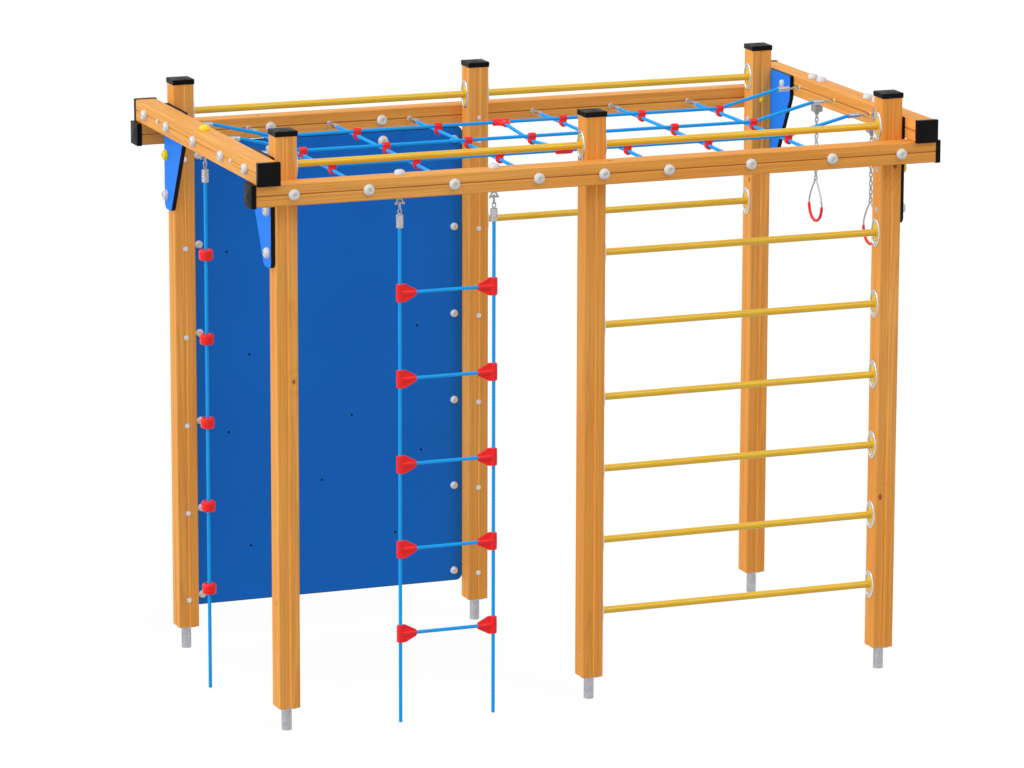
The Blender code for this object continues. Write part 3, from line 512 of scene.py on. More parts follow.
def tee_shape(bm, centre, along, outward, facing):
    """A T connector. along is the gripped rope, outward the barrel, and facing the web's flat side."""
    centre, along, outward, facing = (Vector(v) for v in (centre, along, outward, facing))
    half = sleeve_length / 2
    edge = 0.0022
    sleeve = [(0, 0.0105), (0.002, 0.0112), (0.002, 0.0150), (0.002 + edge, 0.0172), (half, 0.0178)]
    sleeve += [(2 * half - 0.002 - edge, 0.0172), (2 * half - 0.002, 0.0150)]
    sleeve += [(2 * half - 0.002, 0.0112), (2 * half, 0.0105)]
    turned(bm, centre - along * half, along, sleeve, 28)
    barrel = [(0.004, 0.0158), (barrel_reach - 0.012, 0.0150), (barrel_reach - edge, 0.0144)]
    barrel += [(barrel_reach, 0.0125), (barrel_reach, 0.0095), (barrel_reach - 0.004, 0.0082)]
    turned(bm, centre, outward, barrel, 28)
    shoulder, tip = 0.0234, barrel_reach - 0.004
    outline = [
        (0.002, -half + 0.001),
        (shoulder, -half + 0.001),
        (tip, -0.0148),
        (tip, 0.0148),
        (shoulder, half - 0.001),
        (0.002, half - 0.001),
    ]
    faces = (-web_half_thickness, web_half_thickness)
    skin(bm, [[centre + outward * u + along * v + facing * w for u, v in outline] for w in faces])
    inner, bend, outer = (0.012, -half + 0.003), (shoulder, -half + 0.003), (tip, -0.0128)
    for (u0, v0), (u1, v1) in ((inner, bend), (bend, outer)):
        for turnover in (1, -1):
            a = centre + outward * u0 + along * v0 * turnover
            b = centre + outward * u1 + along * v1 * turnover
            across = (b - a).normalized().cross(facing) * rim_half_width
            out = facing * rim_half_height
            skin(bm, [[point + across * s + out * t for s, t in rim_outline] for point in (a, b)])


for side, right in (("left", -1), ("right", 1)):
    bm = bmesh.new()
    for z in rung_heights:
        centre = (ladder_middle_x + right * ladder_half_width, -beam_y, z)
        tee_shape(bm, centre, (0, 0, 1), (-right, 0, 0), (0, 1, 0))
    piece(f"ladder_connectors_{side}", bm, red_finish, "hanging_ladder")
reach_in = ladder_half_width - barrel_reach + 0.006
rung_ends = (ladder_middle_x - reach_in, ladder_middle_x + reach_in)
rung_runs = [[(x, -beam_y, z) for x in rung_ends] for z in rung_heights]
rungs = rope_piece("ladder_rungs", rung_runs, "hanging_ladder")
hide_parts("rope_ladder")
for side, right in (("left", -1), ("right", 1)):
    x = ladder_middle_x + right * ladder_half_width
    line = plumb(x, -beam_y, side_rope_top, side_rope_end)
    rope = rope_piece(f"ladder_side_rope_{side}", [line], "hanging_ladder")
    bm = bmesh.new()
    ferrule_shape(bm, (x, -beam_y, side_rope_top), (0, 0, 1), ferrule_length, ferrule_radius)
    neck = [(0, 0.0052), (0.002, 0.0046), (0.005, 0.0042), (0.008, 0.0030)]
    turned(bm, (x, -beam_y, side_rope_top + ferrule_length - 0.001), (0, 0, 1), neck, 16)
    ferrule = piece(f"ladder_ferrule_{side}", bm, aluminium_finish, "hanging_ladder")
    link_ends = (ladder_link_top, ladder_link_low)
    upper = link_piece(f"ladder_link_{side}", x, -beam_y, *link_ends, "hanging_ladder", False)
    eye_ends = (ladder_eye_top, ladder_eye_low)
    lower = link_piece(f"ladder_eye_{side}", x, -beam_y, *eye_ends, "hanging_ladder", True)
    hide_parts("rope_ladder")


# The posts: six sticks of pine, 104 mm square, planed with chamfered corners and a V groove down
# each face, and stained a warm honey colour. Each was sawn at its own place in a log, so that its
# growth rings, streaks and knots are its own.
post_spacing = 1.531
frame_depth = 1.551
ring_pitch = 0.0065
post_rows = {"front": -frame_depth / 2, "back": frame_depth / 2}
post_columns = {"left": -post_spacing, "middle": 0.0, "right": post_spacing}
timber_half = 0.052
timber_rounding = 0.0009
early_wood = (0.93, 0.455, 0.108)
early_wood_red = (0.88, 0.370, 0.068)
late_wood = (0.62, 0.240, 0.046)
knot_brown = (0.22, 0.050, 0.010)
# Painted shade: the dark brown laid down the middle of the beams' V grooves.
groove_shade_brown = (0.24, 0.085, 0.022)


def pine(name, lengthwise, middle, pith, knots=(), ripe=0.0, painted_groove_shade=0.0):
    """Wood round a pith line. A knot gives its place along, across and beside, and its radius. The last
    argument sets how dark the painted shade down the middle of the grooves is.
    """
    wood = Finish(name, Specular_IOR_Level=0.12)
    along = "XYZ".index(lengthwise)
    places = [wood.node("ShaderNodeSeparateXYZ", {}, {0: wood.place}, k) for k in range(3)]
    length = places.pop(along)
    across, beside = places

    def grain(fine, drawn, detail=3.0, roughness=0.55):
        stretch = [fine] * 3
        stretch[along] = drawn
        return wood.noise(wood.scaled(*stretch), 1.0, detail, roughness)

    bend = grain(7.0, 0.9) - 0.5
    ripple = grain(40.0, 3.0) - 0.5
    u = across - (middle[0] + pith[0]) + length * 0.005 + bend * 0.030
    v = beside - (middle[1] + pith[1]) - length * 0.007 + bend * 0.018
    reach = (u * u + v * v) ** 0.5 + ripple * 0.004
    core = 0.0
    for at, side, deep, radius in knots:
        near = (length - at) * 0.62
        apart = near * near + (across - side) * (across - side) + (beside - deep) * (beside - deep)
        reach_out = radius * 3.2
        swirl = wood.node("ShaderNodeMath", {"operation": "EXPONENT"}, {0: apart * (-0.5 / reach_out**2)})
        reach = reach + swirl * radius * 1.6
        core = core + wood.spread(apart, radius**2 * 1.3, radius**2 * 0.5)
    turn = wood.node("ShaderNodeMath", {"operation": "FRACT"}, {0: reach / ring_pitch})
    late = turn * turn * wood.spread(turn, 1.0, 0.90)
    streak = grain(420.0, 7.0, 2.0)
    strip = grain(110.0, 1.4, 2.0)
    broad = grain(34.0, 0.8)
    tone = late * 0.40 + streak * 0.50 + strip * 1.3 + broad * 0.7 - 0.98
    # The ground colour drifts at random between yellow and red wood. On the posts it also turns lighter and
    # yellower towards the top, which is painted light.
    tint_and_painted_top_light = wood.spread(grain(4.0, 0.7, 1.0) - length * (0.07 if along == 2 else 0.0) + ripe, 0.32, 0.60)
    ground = wood.mixed(tint_and_painted_top_light, early_wood, early_wood_red)
    colour = wood.mixed(wood.spread(tone, 0.0, 1.0), ground, late_wood)
    if knots:
        colour = wood.mixed(wood.spread(core, 0.0, 1.0, 0.0, 0.82), colour, knot_brown)
    # Painted shade: a dark brown band, 7 mm wide, down the middle of the V groove stands in for the shade
    # inside it.
    if painted_groove_shade:
        off_groove = (beside - middle[1]) * (beside - middle[1])
        colour = wood.mixed(wood.spread(off_groove, 0.0, 0.0035**2, painted_groove_shade, 0.0), colour, groove_shade_brown)
    wood.surface(Base_Color=colour, Roughness=0.46 + streak * 0.16)
    wood.bumped(streak + late * 0.4, 0.0005, 0.35)
    return wood


def dressed(node, finish, rounding):
    """A fixed solid that keeps its shape takes its finish, and its edges are softened a little."""
    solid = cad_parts[node]
    weld = solid.modifiers.new("weld", "WELD")
    weld.merge_threshold = 0.00001
    soften = solid.modifiers.new("soften", "BEVEL")
    soften.width = rounding
    soften.segments = 2
    soften.limit_method = "ANGLE"
    soften.angle_limit = math.radians(25)
    for held in solid.material_slots:
        held.material = finish.material


post_timber = {
    "front_left": ((0.035, 0.070), 0.0, [(1.683, -1.502, -0.8275, 0.007), (0.62, -1.583, -0.79, 0.006)]),
    "front_middle": ((-0.020, 0.085), 0.16, [(1.05, 0.052, -0.76, 0.009)]),
    "front_right": ((0.062, 0.048), 0.10, [(0.875, 1.502, -0.8275, 0.010), (2.512, 1.548, -0.8275, 0.012)]),
    "back_left": ((-0.046, 0.072), 0.05, [(1.31, -1.55, 0.8275, 0.009)]),
    "back_middle": ((0.012, -0.046), 0.05, [(0.94, 0.052, 0.80, 0.007)]),
    "back_right": ((0.055, 0.064), 0.10, [(2.1735, 1.479, 0.7491, 0.009), (0.70, 1.56, 0.8275, 0.008)]),
}
for row, y in post_rows.items():
    for column, x in post_columns.items():
        pith, ripe, knots = post_timber[f"{row}_{column}"]
        wood = pine(f"pine_post_{row}_{column}", "Z", (x, y), pith, knots, ripe)
        dressed(f"post_{row}_{column}", wood, timber_rounding)


# The feet: a galvanised steel tube with a square plate welded on, screwed under each post. The tube
# runs on into the ground, and its cut end shows the wall.
foot_tube_radius = 0.02415
foot_tube_wall = 0.0032
foot_tube_top = 0.108
foot_plate_half = 0.040
foot_plate_top = 0.1137
foot_screw_reach = 0.030


def rounded(half_u, half_v, corner, steps=5):
    """The outline of a plate with rounded corners."""
    points = []
    for quarter, (u, v) in enumerate(((1, 1), (-1, 1), (-1, -1), (1, -1))):
        for k in range(steps + 1):
            angle = math.radians(90 * (quarter + k / steps))
            across = u * (half_u - corner) + corner * math.cos(angle)
            up = v * (half_v - corner) + corner * math.sin(angle)
            points.append((across, up))
    return points


def slab(bm, place, half_u, half_v, corner, low, high, edge):
    """A flat plate with rounded corners and broken edges. place turns its own measures into a point."""
    rings = []
    for inset, level in ((edge, low), (0, low + edge), (0, high - edge), (edge, high)):
        outline = rounded(half_u - inset, half_v - inset, corner - inset)
        rings.append([place(u, v, level) for u, v in outline])
    skin(bm, rings)


for row, y in post_rows.items():
    for column, x in post_columns.items():
        bm = bmesh.new()
        inner = foot_tube_radius - foot_tube_wall
        wall = [(0.0, inner + 0.0005), (0.0, foot_tube_radius - 0.0005), (0.0005, foot_tube_radius)]
        wall += [(foot_tube_top - 0.004, foot_tube_radius), (foot_tube_top, foot_tube_radius + 0.003)]
        wall += [(foot_tube_top, inner), (0.0005, inner)]
        rings = [section(Vector((x, y, z)), Vector((1, 0, 0)), Vector((0, 1, 0)), r, 48) for z, r in wall]
        skin(bm, rings, closed=True)
        levels = (foot_tube_top - 0.0003, foot_plate_top)
        square = (foot_plate_half, foot_plate_half, 0.006)
        slab(bm, lambda u, v, w: Vector((x + u, y + v, w)), *square, *levels, 0.0008)
        for screw_x in (x - foot_screw_reach, x + foot_screw_reach):
            for screw_y in (y - foot_screw_reach, y + foot_screw_reach):
                head = [(0, 0.0062), (0.0018, 0.0056), (0.0026, 0.0040), (0.0026, 0.0)]
                turned(bm, (screw_x, screw_y, foot_tube_top), (0, 0, -1), head, 18)
        foot = piece(f"foot_tube_{row}_{column}", bm, steel_finish, "frame")
        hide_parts(f"foot_{row}_{column}")


# The two long beams, bolted to the outer faces of the posts, and the two crossbeams that lie on
# them outside the end posts. All are of the same grooved pine.
crossbeam_z = 2.6883
beam_z = 2.584
long_timber = {
    "front": (-beam_y, (0.048, -0.085), 0.0, [(0.047, -0.8866, 2.636, 0.009), (-1.16, -0.83, 2.60, 0.006)]),
    "back": (beam_y, (-0.030, -0.090), -0.15, [(0.62, 0.8278, 2.57, 0.007), (-1.1, 0.88, 2.636, 0.008)]),
}
# The long beams take strong painted shade in their grooves (0.8).
for row, (y, pith, ripe, knots) in long_timber.items():
    wood = pine(f"pine_beam_{row}", "X", (y, beam_z), pith, knots, ripe, 0.8)
    dressed(f"beam_{row}", wood, timber_rounding)
# Each crossbeam gives its x, pith, tint, the strength of the painted shade in its groove, and its knots.
cross_timber = {
    "left": (-crossbeam_x, (0.070, -0.060), -0.22, 0.4, [(0.58, -1.6051, 2.70, 0.006)]),
    "right": (crossbeam_x, (0.080, 0.045), -0.05, 0.7, [(0.18, 1.7091, 2.67, 0.007)]),
}
for side, (x, pith, ripe, painted_groove_shade, knots) in cross_timber.items():
    wood = pine(f"pine_crossbeam_{side}", "Y", (x, crossbeam_z), pith, knots, ripe, painted_groove_shade)
    dressed(f"crossbeam_{side}", wood, timber_rounding)


# Caps of black polyethylene, pushed over the posts' tops and the beams' ends. Each is a thin skirt
# with a low four sided point, moulded with a fine matt grain.
cap_finish = Finish("black_cap_plastic", Specular_IOR_Level=0.10)
cap_grain = cap_finish.noise(cap_finish.place, 900.0, 2.0)
cap_dust = cap_finish.spread(cap_finish.noise(cap_finish.place, 16.0, 5.0), 0.40, 0.80)
cap_finish.surface(Base_Color=cap_finish.mixed(cap_dust, (0.0018, 0.0018, 0.002), (0.0045, 0.0045, 0.005)))
cap_finish.surface(Roughness=0.42 + cap_dust * 0.16)
cap_finish.bumped(cap_grain, 0.0002, 0.4)
cap_rounding = 0.0016
for row in post_rows:
    for column in post_columns:
        dressed(f"post_cap_{row}_{column}", cap_finish, cap_rounding)
    for side in ("left", "right"):
        dressed(f"beam_{row}_cap_{side}", cap_finish, cap_rounding)
        dressed(f"crossbeam_{side}_cap_{row}", cap_finish, cap_rounding)


# Brackets: boards of polyethylene with a blue skin on both faces and a black core, sawn to a long
# wedge with rounded corners and bolted between the end posts and the crossbeams.
skinned_face = 0.9
black_core = (0.006, 0.006, 0.007)
bracket_rounding = 0.0012
bracket_finish = Finish("blue_skinned_board")
bracket_face = bracket_finish.node("ShaderNodeNewGeometry", {}, {}, "Normal")
bracket_turn = bracket_finish.node("ShaderNodeSeparateXYZ", {}, {0: bracket_face}, "X")
bracket_skin = (bracket_turn > skinned_face) + (bracket_turn < -skinned_face)
bracket_grain = bracket_finish.noise(bracket_finish.place, 700.0, 3.0)
bracket_cloud = bracket_finish.noise(bracket_finish.place, 9.0, 3.0)
bracket_blue = bracket_finish.mixed(bracket_cloud, (0.010, 0.205, 0.88), (0.016, 0.230, 0.97))
bracket_finish.surface(Base_Color=bracket_finish.mixed(bracket_skin, black_core, bracket_blue))
bracket_finish.surface(Roughness=0.45 + bracket_grain * 0.15, Specular_IOR_Level=0.10)
bracket_finish.bumped(bracket_grain, 0.0002, 0.3)
for row in post_rows:
    for side in ("left", "right"):
        dressed(f"gusset_{row}_{side}", bracket_finish, bracket_rounding)


# The climbing board: high pressure laminate, 15 mm thick, blue on both faces with a black core at
# its edges. Nine holes are drilled for climbing holds. Twelve galvanised straps behind it are
# bolted through the board and through the two back posts.
board_left, board_right = -1.478, -0.053
board_low, board_high = 0.200, 2.530
board_front, board_back = 0.8138, 0.8288
board_corner = 0.030
board_edge = 0.004
board_back_edge = 0.001
hold_hole_radius = 0.0052
hold_hole_edge = 0.0008
hold_plug_radius = 0.0048
hold_holes = (
    (0.241, 1.978),
    (0.354, 1.453),
    (0.243, 1.068),
    (0.354, 0.479),
    (1.236, 1.535),
    (1.258, 0.895),
    (1.118, 0.480),
    (0.889, 1.103),
    (0.729, 0.783),
)
strap_rise = 0.443
strap_heights = [0.253 + strap_rise * k for k in range(6)]
strap_over_post, strap_on_board = 0.059, 0.066
strap_front, strap_back = 0.8280, 0.8328
strap_half_height = 0.020

board_finish = Finish("blue_laminate_board")
board_face = board_finish.node("ShaderNodeNewGeometry", {}, {}, "Normal")
board_turn = board_finish.node("ShaderNodeSeparateXYZ", {}, {0: board_face}, "Y")
board_skin = (board_turn > skinned_face) + (board_turn < -skinned_face)
board_grain = board_finish.noise(board_finish.place, 800.0, 3.0)
board_cloud = board_finish.noise(board_finish.place, 2.2, 4.0)
board_scuff = board_finish.spread(board_finish.noise(board_finish.scaled(60, 60, 18), 1.0, 4.0), 0.60, 0.78)
board_blue = board_finish.mixed(board_cloud, (0.0075, 0.142, 0.575), (0.0095, 0.160, 0.640))
board_worn = board_finish.mixed(board_scuff * 0.06, board_blue, (0.04, 0.21, 0.62))
board_finish.surface(Base_Color=board_finish.mixed(board_skin, black_core, board_worn))
board_finish.surface(Roughness=0.50 + board_scuff * 0.10, Specular_IOR_Level=0.08)
board_finish.bumped(board_grain, 0.0002, 0.25)

bm = bmesh.new()
middle = Vector(((board_left + board_right) / 2, 0, (board_low + board_high) / 2))
half_u, half_v = (board_right - board_left) / 2, (board_high - board_low) / 2
board_steps = (
    (board_edge, board_front),
    (0, board_front + board_edge),
    (0, board_back - board_back_edge),
    (board_back_edge, board_back),
)
rings = []
for inset, y in board_steps:
    outline = rounded(half_u - inset, half_v - inset, board_corner - inset)
    rings.append([middle + Vector((u, y, v)) for u, v in outline])
walls = [skin(bm, rings, ends=False)]
for out, height in hold_holes:
    hole = Vector((-post_spacing + out, 0, height))
    rings = []
    for y, wider in (
        (board_front, hold_hole_edge),
        (board_front + hold_hole_edge, 0),
        (board_back - hold_hole_edge, 0),
        (board_back, hold_hole_edge),
    ):
        radius = hold_hole_radius + wider
        rings.append(section(hole + Vector((0, y, 0)), Vector((1, 0, 0)), Vector((0, 0, 1)), radius, 20))
    walls.append(skin(bm, rings, ends=False))
for end in (0, -1):
    rims = [[wall[end][k], wall[end][k - 1]] for wall in walls for k in range(len(wall[end]))]
    edges = [bm.edges.get(pair) for pair in rims]
    bmesh.ops.triangle_fill(bm, edges=edges, use_beauty=True)
board = piece("climbing_board", bm, board_finish, "frame")
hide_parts("climbing_panel")

bm = bmesh.new()
for z in strap_heights:
    for edge_x, inward in ((board_left, 1), (board_right, -1)):
        start, end = edge_x - inward * strap_over_post, edge_x + inward * strap_on_board
        centre = (start + end) / 2
        outline = (abs(end - start) / 2, strap_half_height, 0.008)
        slab(bm, lambda u, v, w: Vector((centre + u, w, z + v)), *outline, strap_front, strap_back, 0.0006)
straps = piece("board_straps", bm, steel_finish, "frame")
bm = bmesh.new()
thick = board_back - board_front
plug = [(0.0012, 0), (0.0012, hold_plug_radius - 0.0008), (0.0018, hold_plug_radius)]
plug += [(thick, hold_plug_radius), (thick + 0.0003, 0.0085), (thick + 0.0016, 0.0080), (thick + 0.0020, 0)]
for out, height in hold_holes:
    turned(bm, (-post_spacing + out, board_front, height), (0, 1, 0), plug, 20)
piece("hold_hole_plugs", bm, cap_finish, "frame")
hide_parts("climbing_panel")


# Rails and rungs: steel tube, 34 mm thick, powder coated yellow. At each end it is welded to an
# oval plate inside a rolled steel rim, and two screws hold the plate to the post.
tube_radius = 0.0170
tube_end = 1.4787
tube_start = 0.0523
flange_half_width, flange_half_height = 0.045, 0.070
rim_width = 0.0125
rim_depth = 0.0078
screw_rise = 0.047
collar_length, collar_swell = 0.016, 0.0011
rung_rise = 0.350
rung_zs = [0.428 + rung_rise * k for k in range(6)]
rail_z = 2.698
high_bar_z = 2.061

yellow_finish = Finish("yellow_powder_coat", Specular_IOR_Level=0.5)
peel = yellow_finish.noise(yellow_finish.place, 330.0, 2.0)
rubbed = yellow_finish.spread(yellow_finish.noise(yellow_finish.scaled(4, 30, 30), 1.0, 4.0), 0.45, 0.75)
yellow_finish.surface(Base_Color=yellow_finish.mixed(rubbed, (0.80, 0.480, 0.004), (0.74, 0.430, 0.004)))
yellow_finish.surface(Roughness=0.22 + rubbed * 0.10)
yellow_finish.bumped(peel, 0.0003, 0.3)

bright_zinc = Finish("bright_zinc_plate", Metallic=1.0)
bright_cloud = bright_zinc.clouded(60.0, (0.52, 0.55, 0.60), (0.74, 0.77, 0.82), 0.26, 0.2)
bright_zinc.bumped(bright_cloud, 0.0001, 0.2)


def oval(x, y, z, inset, count=40):
    """The outline of an end plate, set in from its edge."""
    ring = []
    for k in range(count):
        angle = 2 * math.pi * k / count
        across, up = flange_half_width - inset, flange_half_height - inset
        ring.append(Vector((x, y + across * math.cos(angle), z + up * math.sin(angle))))
    return ring


def flanged_bar(name, node, start, end, y, z):
    bm = bmesh.new()
    length = end - start
    collar_radius = tube_radius + collar_swell
    profile = [(0.002, tube_radius + 0.004), (0.005, collar_radius + 0.0008), (0.0075, collar_radius)]
    profile += [(collar_length, collar_radius), (collar_length + 0.0015, tube_radius)]
    profile += [(length - along, radius) for along, radius in reversed(profile)]
    turned(bm, (start, y, z), (1, 0, 0), profile, 48)
    for face, inward in ((start, 1), (end, -1)):
        levels = ((0.0002, rim_width - 0.001), (0.0034, rim_width - 0.001), (0.0040, rim_width))
        skin(bm, [oval(face + inward * w, y, z, inset) for w, inset in levels])
    tube = piece(name, bm, yellow_finish, "frame")
    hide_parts(node)
    bm = bmesh.new()
    for face, inward in ((start, 1), (end, -1)):
        bulge = [(0.0, 0.0004), (0.0030, 0.0), (0.0056, 0.0012), (0.0073, 0.0034), (rim_depth, 0.0062)]
        bulge += [(0.0073, 0.0088), (0.0056, 0.0110), (0.0034, rim_width), (0.0, rim_width)]
        skin(bm, [oval(face + inward * w, y, z, inset) for w, inset in bulge], closed=True)
        for up in (-screw_rise, screw_rise):
            head = [(0.0038, 0.0078), (0.0052, 0.0076), (0.0074, 0.0060), (0.0084, 0.0030), (0.0084, 0.0)]
            turned(bm, (face, y, z + up), (inward, 0, 0), head, 22)
    rims = piece(name + "_end_plates", bm, bright_zinc, "frame")
    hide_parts(node)


for row, y in post_rows.items():
    flanged_bar(f"rail_{row}_left", f"top_rail_{row}_left", -tube_end, -tube_start, y, rail_z)
    flanged_bar(f"rail_{row}_right", f"top_rail_{row}_right", tube_start, tube_end, y, rail_z)
flanged_bar("high_bar", "back_bar", tube_start, tube_end, frame_depth / 2, high_bar_z)
for number, z in enumerate(rung_zs, 1):
    flanged_bar(f"ladder_rung_{number}", f"rung_{number}", tube_start, tube_end, -frame_depth / 2, z)


# The overhead net: three long ropes and seven across, of the same blue rope, held together where
# they cross by red moulded clamps and at the middle by T connectors. Each end is pressed into a
# sleeve with an eye, and a threaded shank holds the eye to the beam through a nylon washer.
net_pitch = 0.420
net_columns = [side * (0.328 + net_pitch * k) for side in (-1, 1) for k in range(3)]
net_rows = (-net_pitch, 0.0, net_pitch)
long_rope_z, cross_rope_z = 2.611, 2.588
crossbeam_face = 1.6048
beam_face = 0.8275
clamp_half = 0.018
clamp_radius = 0.0168
eye_start, eye_end = 0.0135, 0.0390
eye_half_width, eye_rod = 0.0076, 0.0026
sleeve_start = 0.060
net_ferrule_length = 0.060
net_ferrule_radius = 0.013


def clamp_barrel(bm, centre, way, upright):
    """Half of a clamp: a moulded barrel round one rope, taller than it is wide, with rolled lips."""
    profile = [(0.0005, rope_radius + 0.001), (0, rope_radius + 0.003), (0, 0.0138), (0.0012, 0.0152)]
    profile += [(0.0035, 0.0160), (clamp_half, clamp_radius)]
    profile += [(2 * clamp_half - along, radius) for along, radius in reversed(profile[:-1])]
    way = Vector(way)
    across = Vector((way.y, way.x, 0))
    up = Vector((0, 0, upright))
    foot = Vector(centre) - way * clamp_half
    skin(bm, [section(foot + way * along, across, up, radius, 28) for along, radius in profile])


def eye_bolt(bm, face, inward):
    """A threaded eye: its shank and nut at the beam, and a long eye that holds the rope's end."""
    face, inward = Vector(face), Vector(inward)
    shank = [(0.003, 0.0032), (0.0040, 0.0060), (0.0050, 0.0068), (0.0090, 0.0068), (0.0100, 0.0060)]
    shank += [(0.0104, 0.0036), (eye_start + 0.001, 0.0034)]
    turned(bm, face, inward, shank, 18)

    def place(u, v):
        return face + inward * v + Vector((0, 0, u))

    bar(bm, loop_points(eye_end, eye_start, eye_half_width, place, 10), eye_rod, 10, closed=True)
    neck = [(eye_end - 0.001, 0.0034), (eye_end + 0.003, 0.0048), (eye_end + 0.012, 0.0052)]
    turned(bm, face, inward, neck + [(sleeve_start + 0.002, 0.0060)], 18)


def fitting(face, inward, metal, sleeves, washers):
    face, inward = Vector(face), Vector(inward)
    eye_bolt(metal, face, inward)
    ferrule_shape(sleeves, face + inward * sleeve_start, inward, net_ferrule_length, net_ferrule_radius)
    washer = [(0.0002, 0.0118), (0.0010, 0.0125), (0.0030, 0.0122), (0.0042, 0.0105), (0.0042, 0.0040)]
    turned(washers, face, inward, washer, 28)


white_finish = Finish("white_nylon", Specular_IOR_Level=0.5)
nylon_cloud = white_finish.noise(white_finish.place, 38.0, 4.0)
nylon_grime = white_finish.spread(nylon_cloud, 0.45, 0.80)
white_finish.surface(Base_Color=white_finish.mixed(nylon_grime, (0.68, 0.685, 0.70), (0.58, 0.585, 0.60)))
white_finish.surface(Roughness=0.22 + nylon_grime * 0.15)
white_finish.bumped(white_finish.noise(white_finish.place, 500.0, 2.0), 0.0002, 0.3)

yellow_cover_finish = Finish("yellow_nylon", Specular_IOR_Level=0.4)
yellow_cover_finish.clouded(38.0, (1.0, 0.74, 0.006), (0.92, 0.66, 0.005), 0.28, 0.14)

middle_reach = net_pitch - barrel_reach + 0.006
ferrule_mouth = sleeve_start + net_ferrule_length
net_runs = []
metal, sleeves, washers, yellow_washers = (bmesh.new() for _ in range(4))
for y in net_rows:
    start, inner = crossbeam_face - ferrule_mouth + 0.012, net_columns[-1]
    bend = crossbeam_face - ferrule_mouth - 0.006
    half_line = [(start, y, crossbeam_z), (bend, y, crossbeam_z - 0.0008), (inner, y, long_rope_z)]
    run = [(-x, y, z) for x, y, z in half_line] + [(0, y, long_rope_z)] + half_line[::-1]
    net_runs.append(run)
    for right in (-1, 1):
        yellow = right > 0 and y <= 0
        face = (right * crossbeam_face, y, crossbeam_z)
        fitting(face, (-right, 0, 0), metal, sleeves, yellow_washers if yellow else washers)
for x in net_columns:
    start = beam_face - ferrule_mouth + 0.012
    half_line = [(x, start, beam_z), (x, start - 0.018, beam_z + 0.0003), (x, net_pitch, cross_rope_z)]
    net_runs.append(half_line + [(x, 0, cross_rope_z)] + [(x, -y, z) for x, y, z in half_line[::-1]])
    for back in (-1, 1):
        fitting((x, back * beam_face, beam_z), (0, -back, 0), metal, sleeves, washers)
middle_half = [(0, middle_reach, long_rope_z), (0, 0.03, cross_rope_z)]
net_runs.append([(x, -y, z) for x, y, z in middle_half] + middle_half[::-1])
net_ropes = rope_piece("net_ropes", net_runs, "frame")
clamps = bmesh.new()
for x in net_columns + [0.0]:
    for y in net_rows if x else (0.0,):
        clamp_barrel(clamps, (x, y, long_rope_z), (1, 0, 0), 1.02)
        clamp_barrel(clamps, (x, y, cross_rope_z), (0, 1, 0), 1.18)
for y, inward in ((-net_pitch, 1), (net_pitch, -1)):
    tee_shape(clamps, (0, y, long_rope_z), (1, 0, 0), (0, inward, 0), (0, 0, 1))
net_clamps = piece("net_clamps", clamps, red_finish, "frame")
net_sleeves = piece("net_ferrules", sleeves, aluminium_finish, "frame")
net_bolts = piece("net_eye_bolts", metal, steel_finish, "frame")
piece("net_washers", washers, white_finish, "frame")
piece("net_washers_yellow", yellow_washers, yellow_cover_finish, "frame")
for made in (net_ropes, net_clamps, net_sleeves, net_bolts):
    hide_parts("net")


# Swing rings: under the right crossbeam two bearing hangers of grey painted steel are bolted on.
# From each eye hangs a chain of fifteen welded links, and from that a teardrop of bent steel rod
# with a red moulded hand grip round its bow.
hanger_y = 0.325
hanger_bolt_reach = 0.0525
hanger_base_low = 2.630
hanger_housing_low = 2.582
hanger_eye_centre = 2.557
hanger_screws = (2.594, 2.618)
chain_links = 15
chain_top = 2.55425
chain_step = 0.0213
chain_link_length = 0.0256
chain_half_width = 0.00695
chain_rod = 0.0032
ring_top = 2.2372
ring_height = 0.2105
ring_half_width = 0.076
ring_bow_height = 0.082
ring_apex = 0.008
ring_rod = 0.0042
grip_radius = 0.0074
apex_points, side_points, bow_points = 11, 15, 33

hanger_finish = Finish("grey_painted_steel", Specular_IOR_Level=0.4, Metallic=0.35)
hanger_finish.clouded(45.0, (0.30, 0.30, 0.31), (0.41, 0.41, 0.42), 0.36, 0.2)
hanger_finish.bumped(hanger_finish.noise(hanger_finish.place, 420.0, 2.0), 0.0002, 0.3)


def teardrop(y):
    """The centreline of a ring's rod: a small arc at the top, two swept sides and a round bow."""
    apex, low = ring_top - ring_apex, ring_top - ring_height
    bow = low + ring_bow_height
    top = []
    for k in range(apex_points):
        angle = math.radians(35 + 11 * k)
        top.append((ring_apex * math.cos(angle), apex + ring_apex * math.sin(angle)))
    first, last = Vector(top[-1]), Vector((-ring_half_width, bow))
    lead, trail = Vector((-0.055, -0.075)), Vector((0, -0.130))
    side = []
    for k in range(1, side_points + 1):
        t = k / (side_points + 1)
        a, b = 2 * t**3 - 3 * t**2 + 1, t**3 - 2 * t**2 + t
        c, d = -2 * t**3 + 3 * t**2, t**3 - t**2
        side.append(first * a + lead * b + last * c + trail * d)
    round_bow = []
    for k in range(bow_points):
        angle = math.pi + math.pi * k / (bow_points - 1)
        round_bow.append(Vector((ring_half_width * math.cos(angle), bow + ring_bow_height * math.sin(angle))))
    line = top + [tuple(p) for p in side + round_bow] + [(-p.x, p.y) for p in reversed(side)]
    return [(crossbeam_x, y + u, v) for u, v in line]


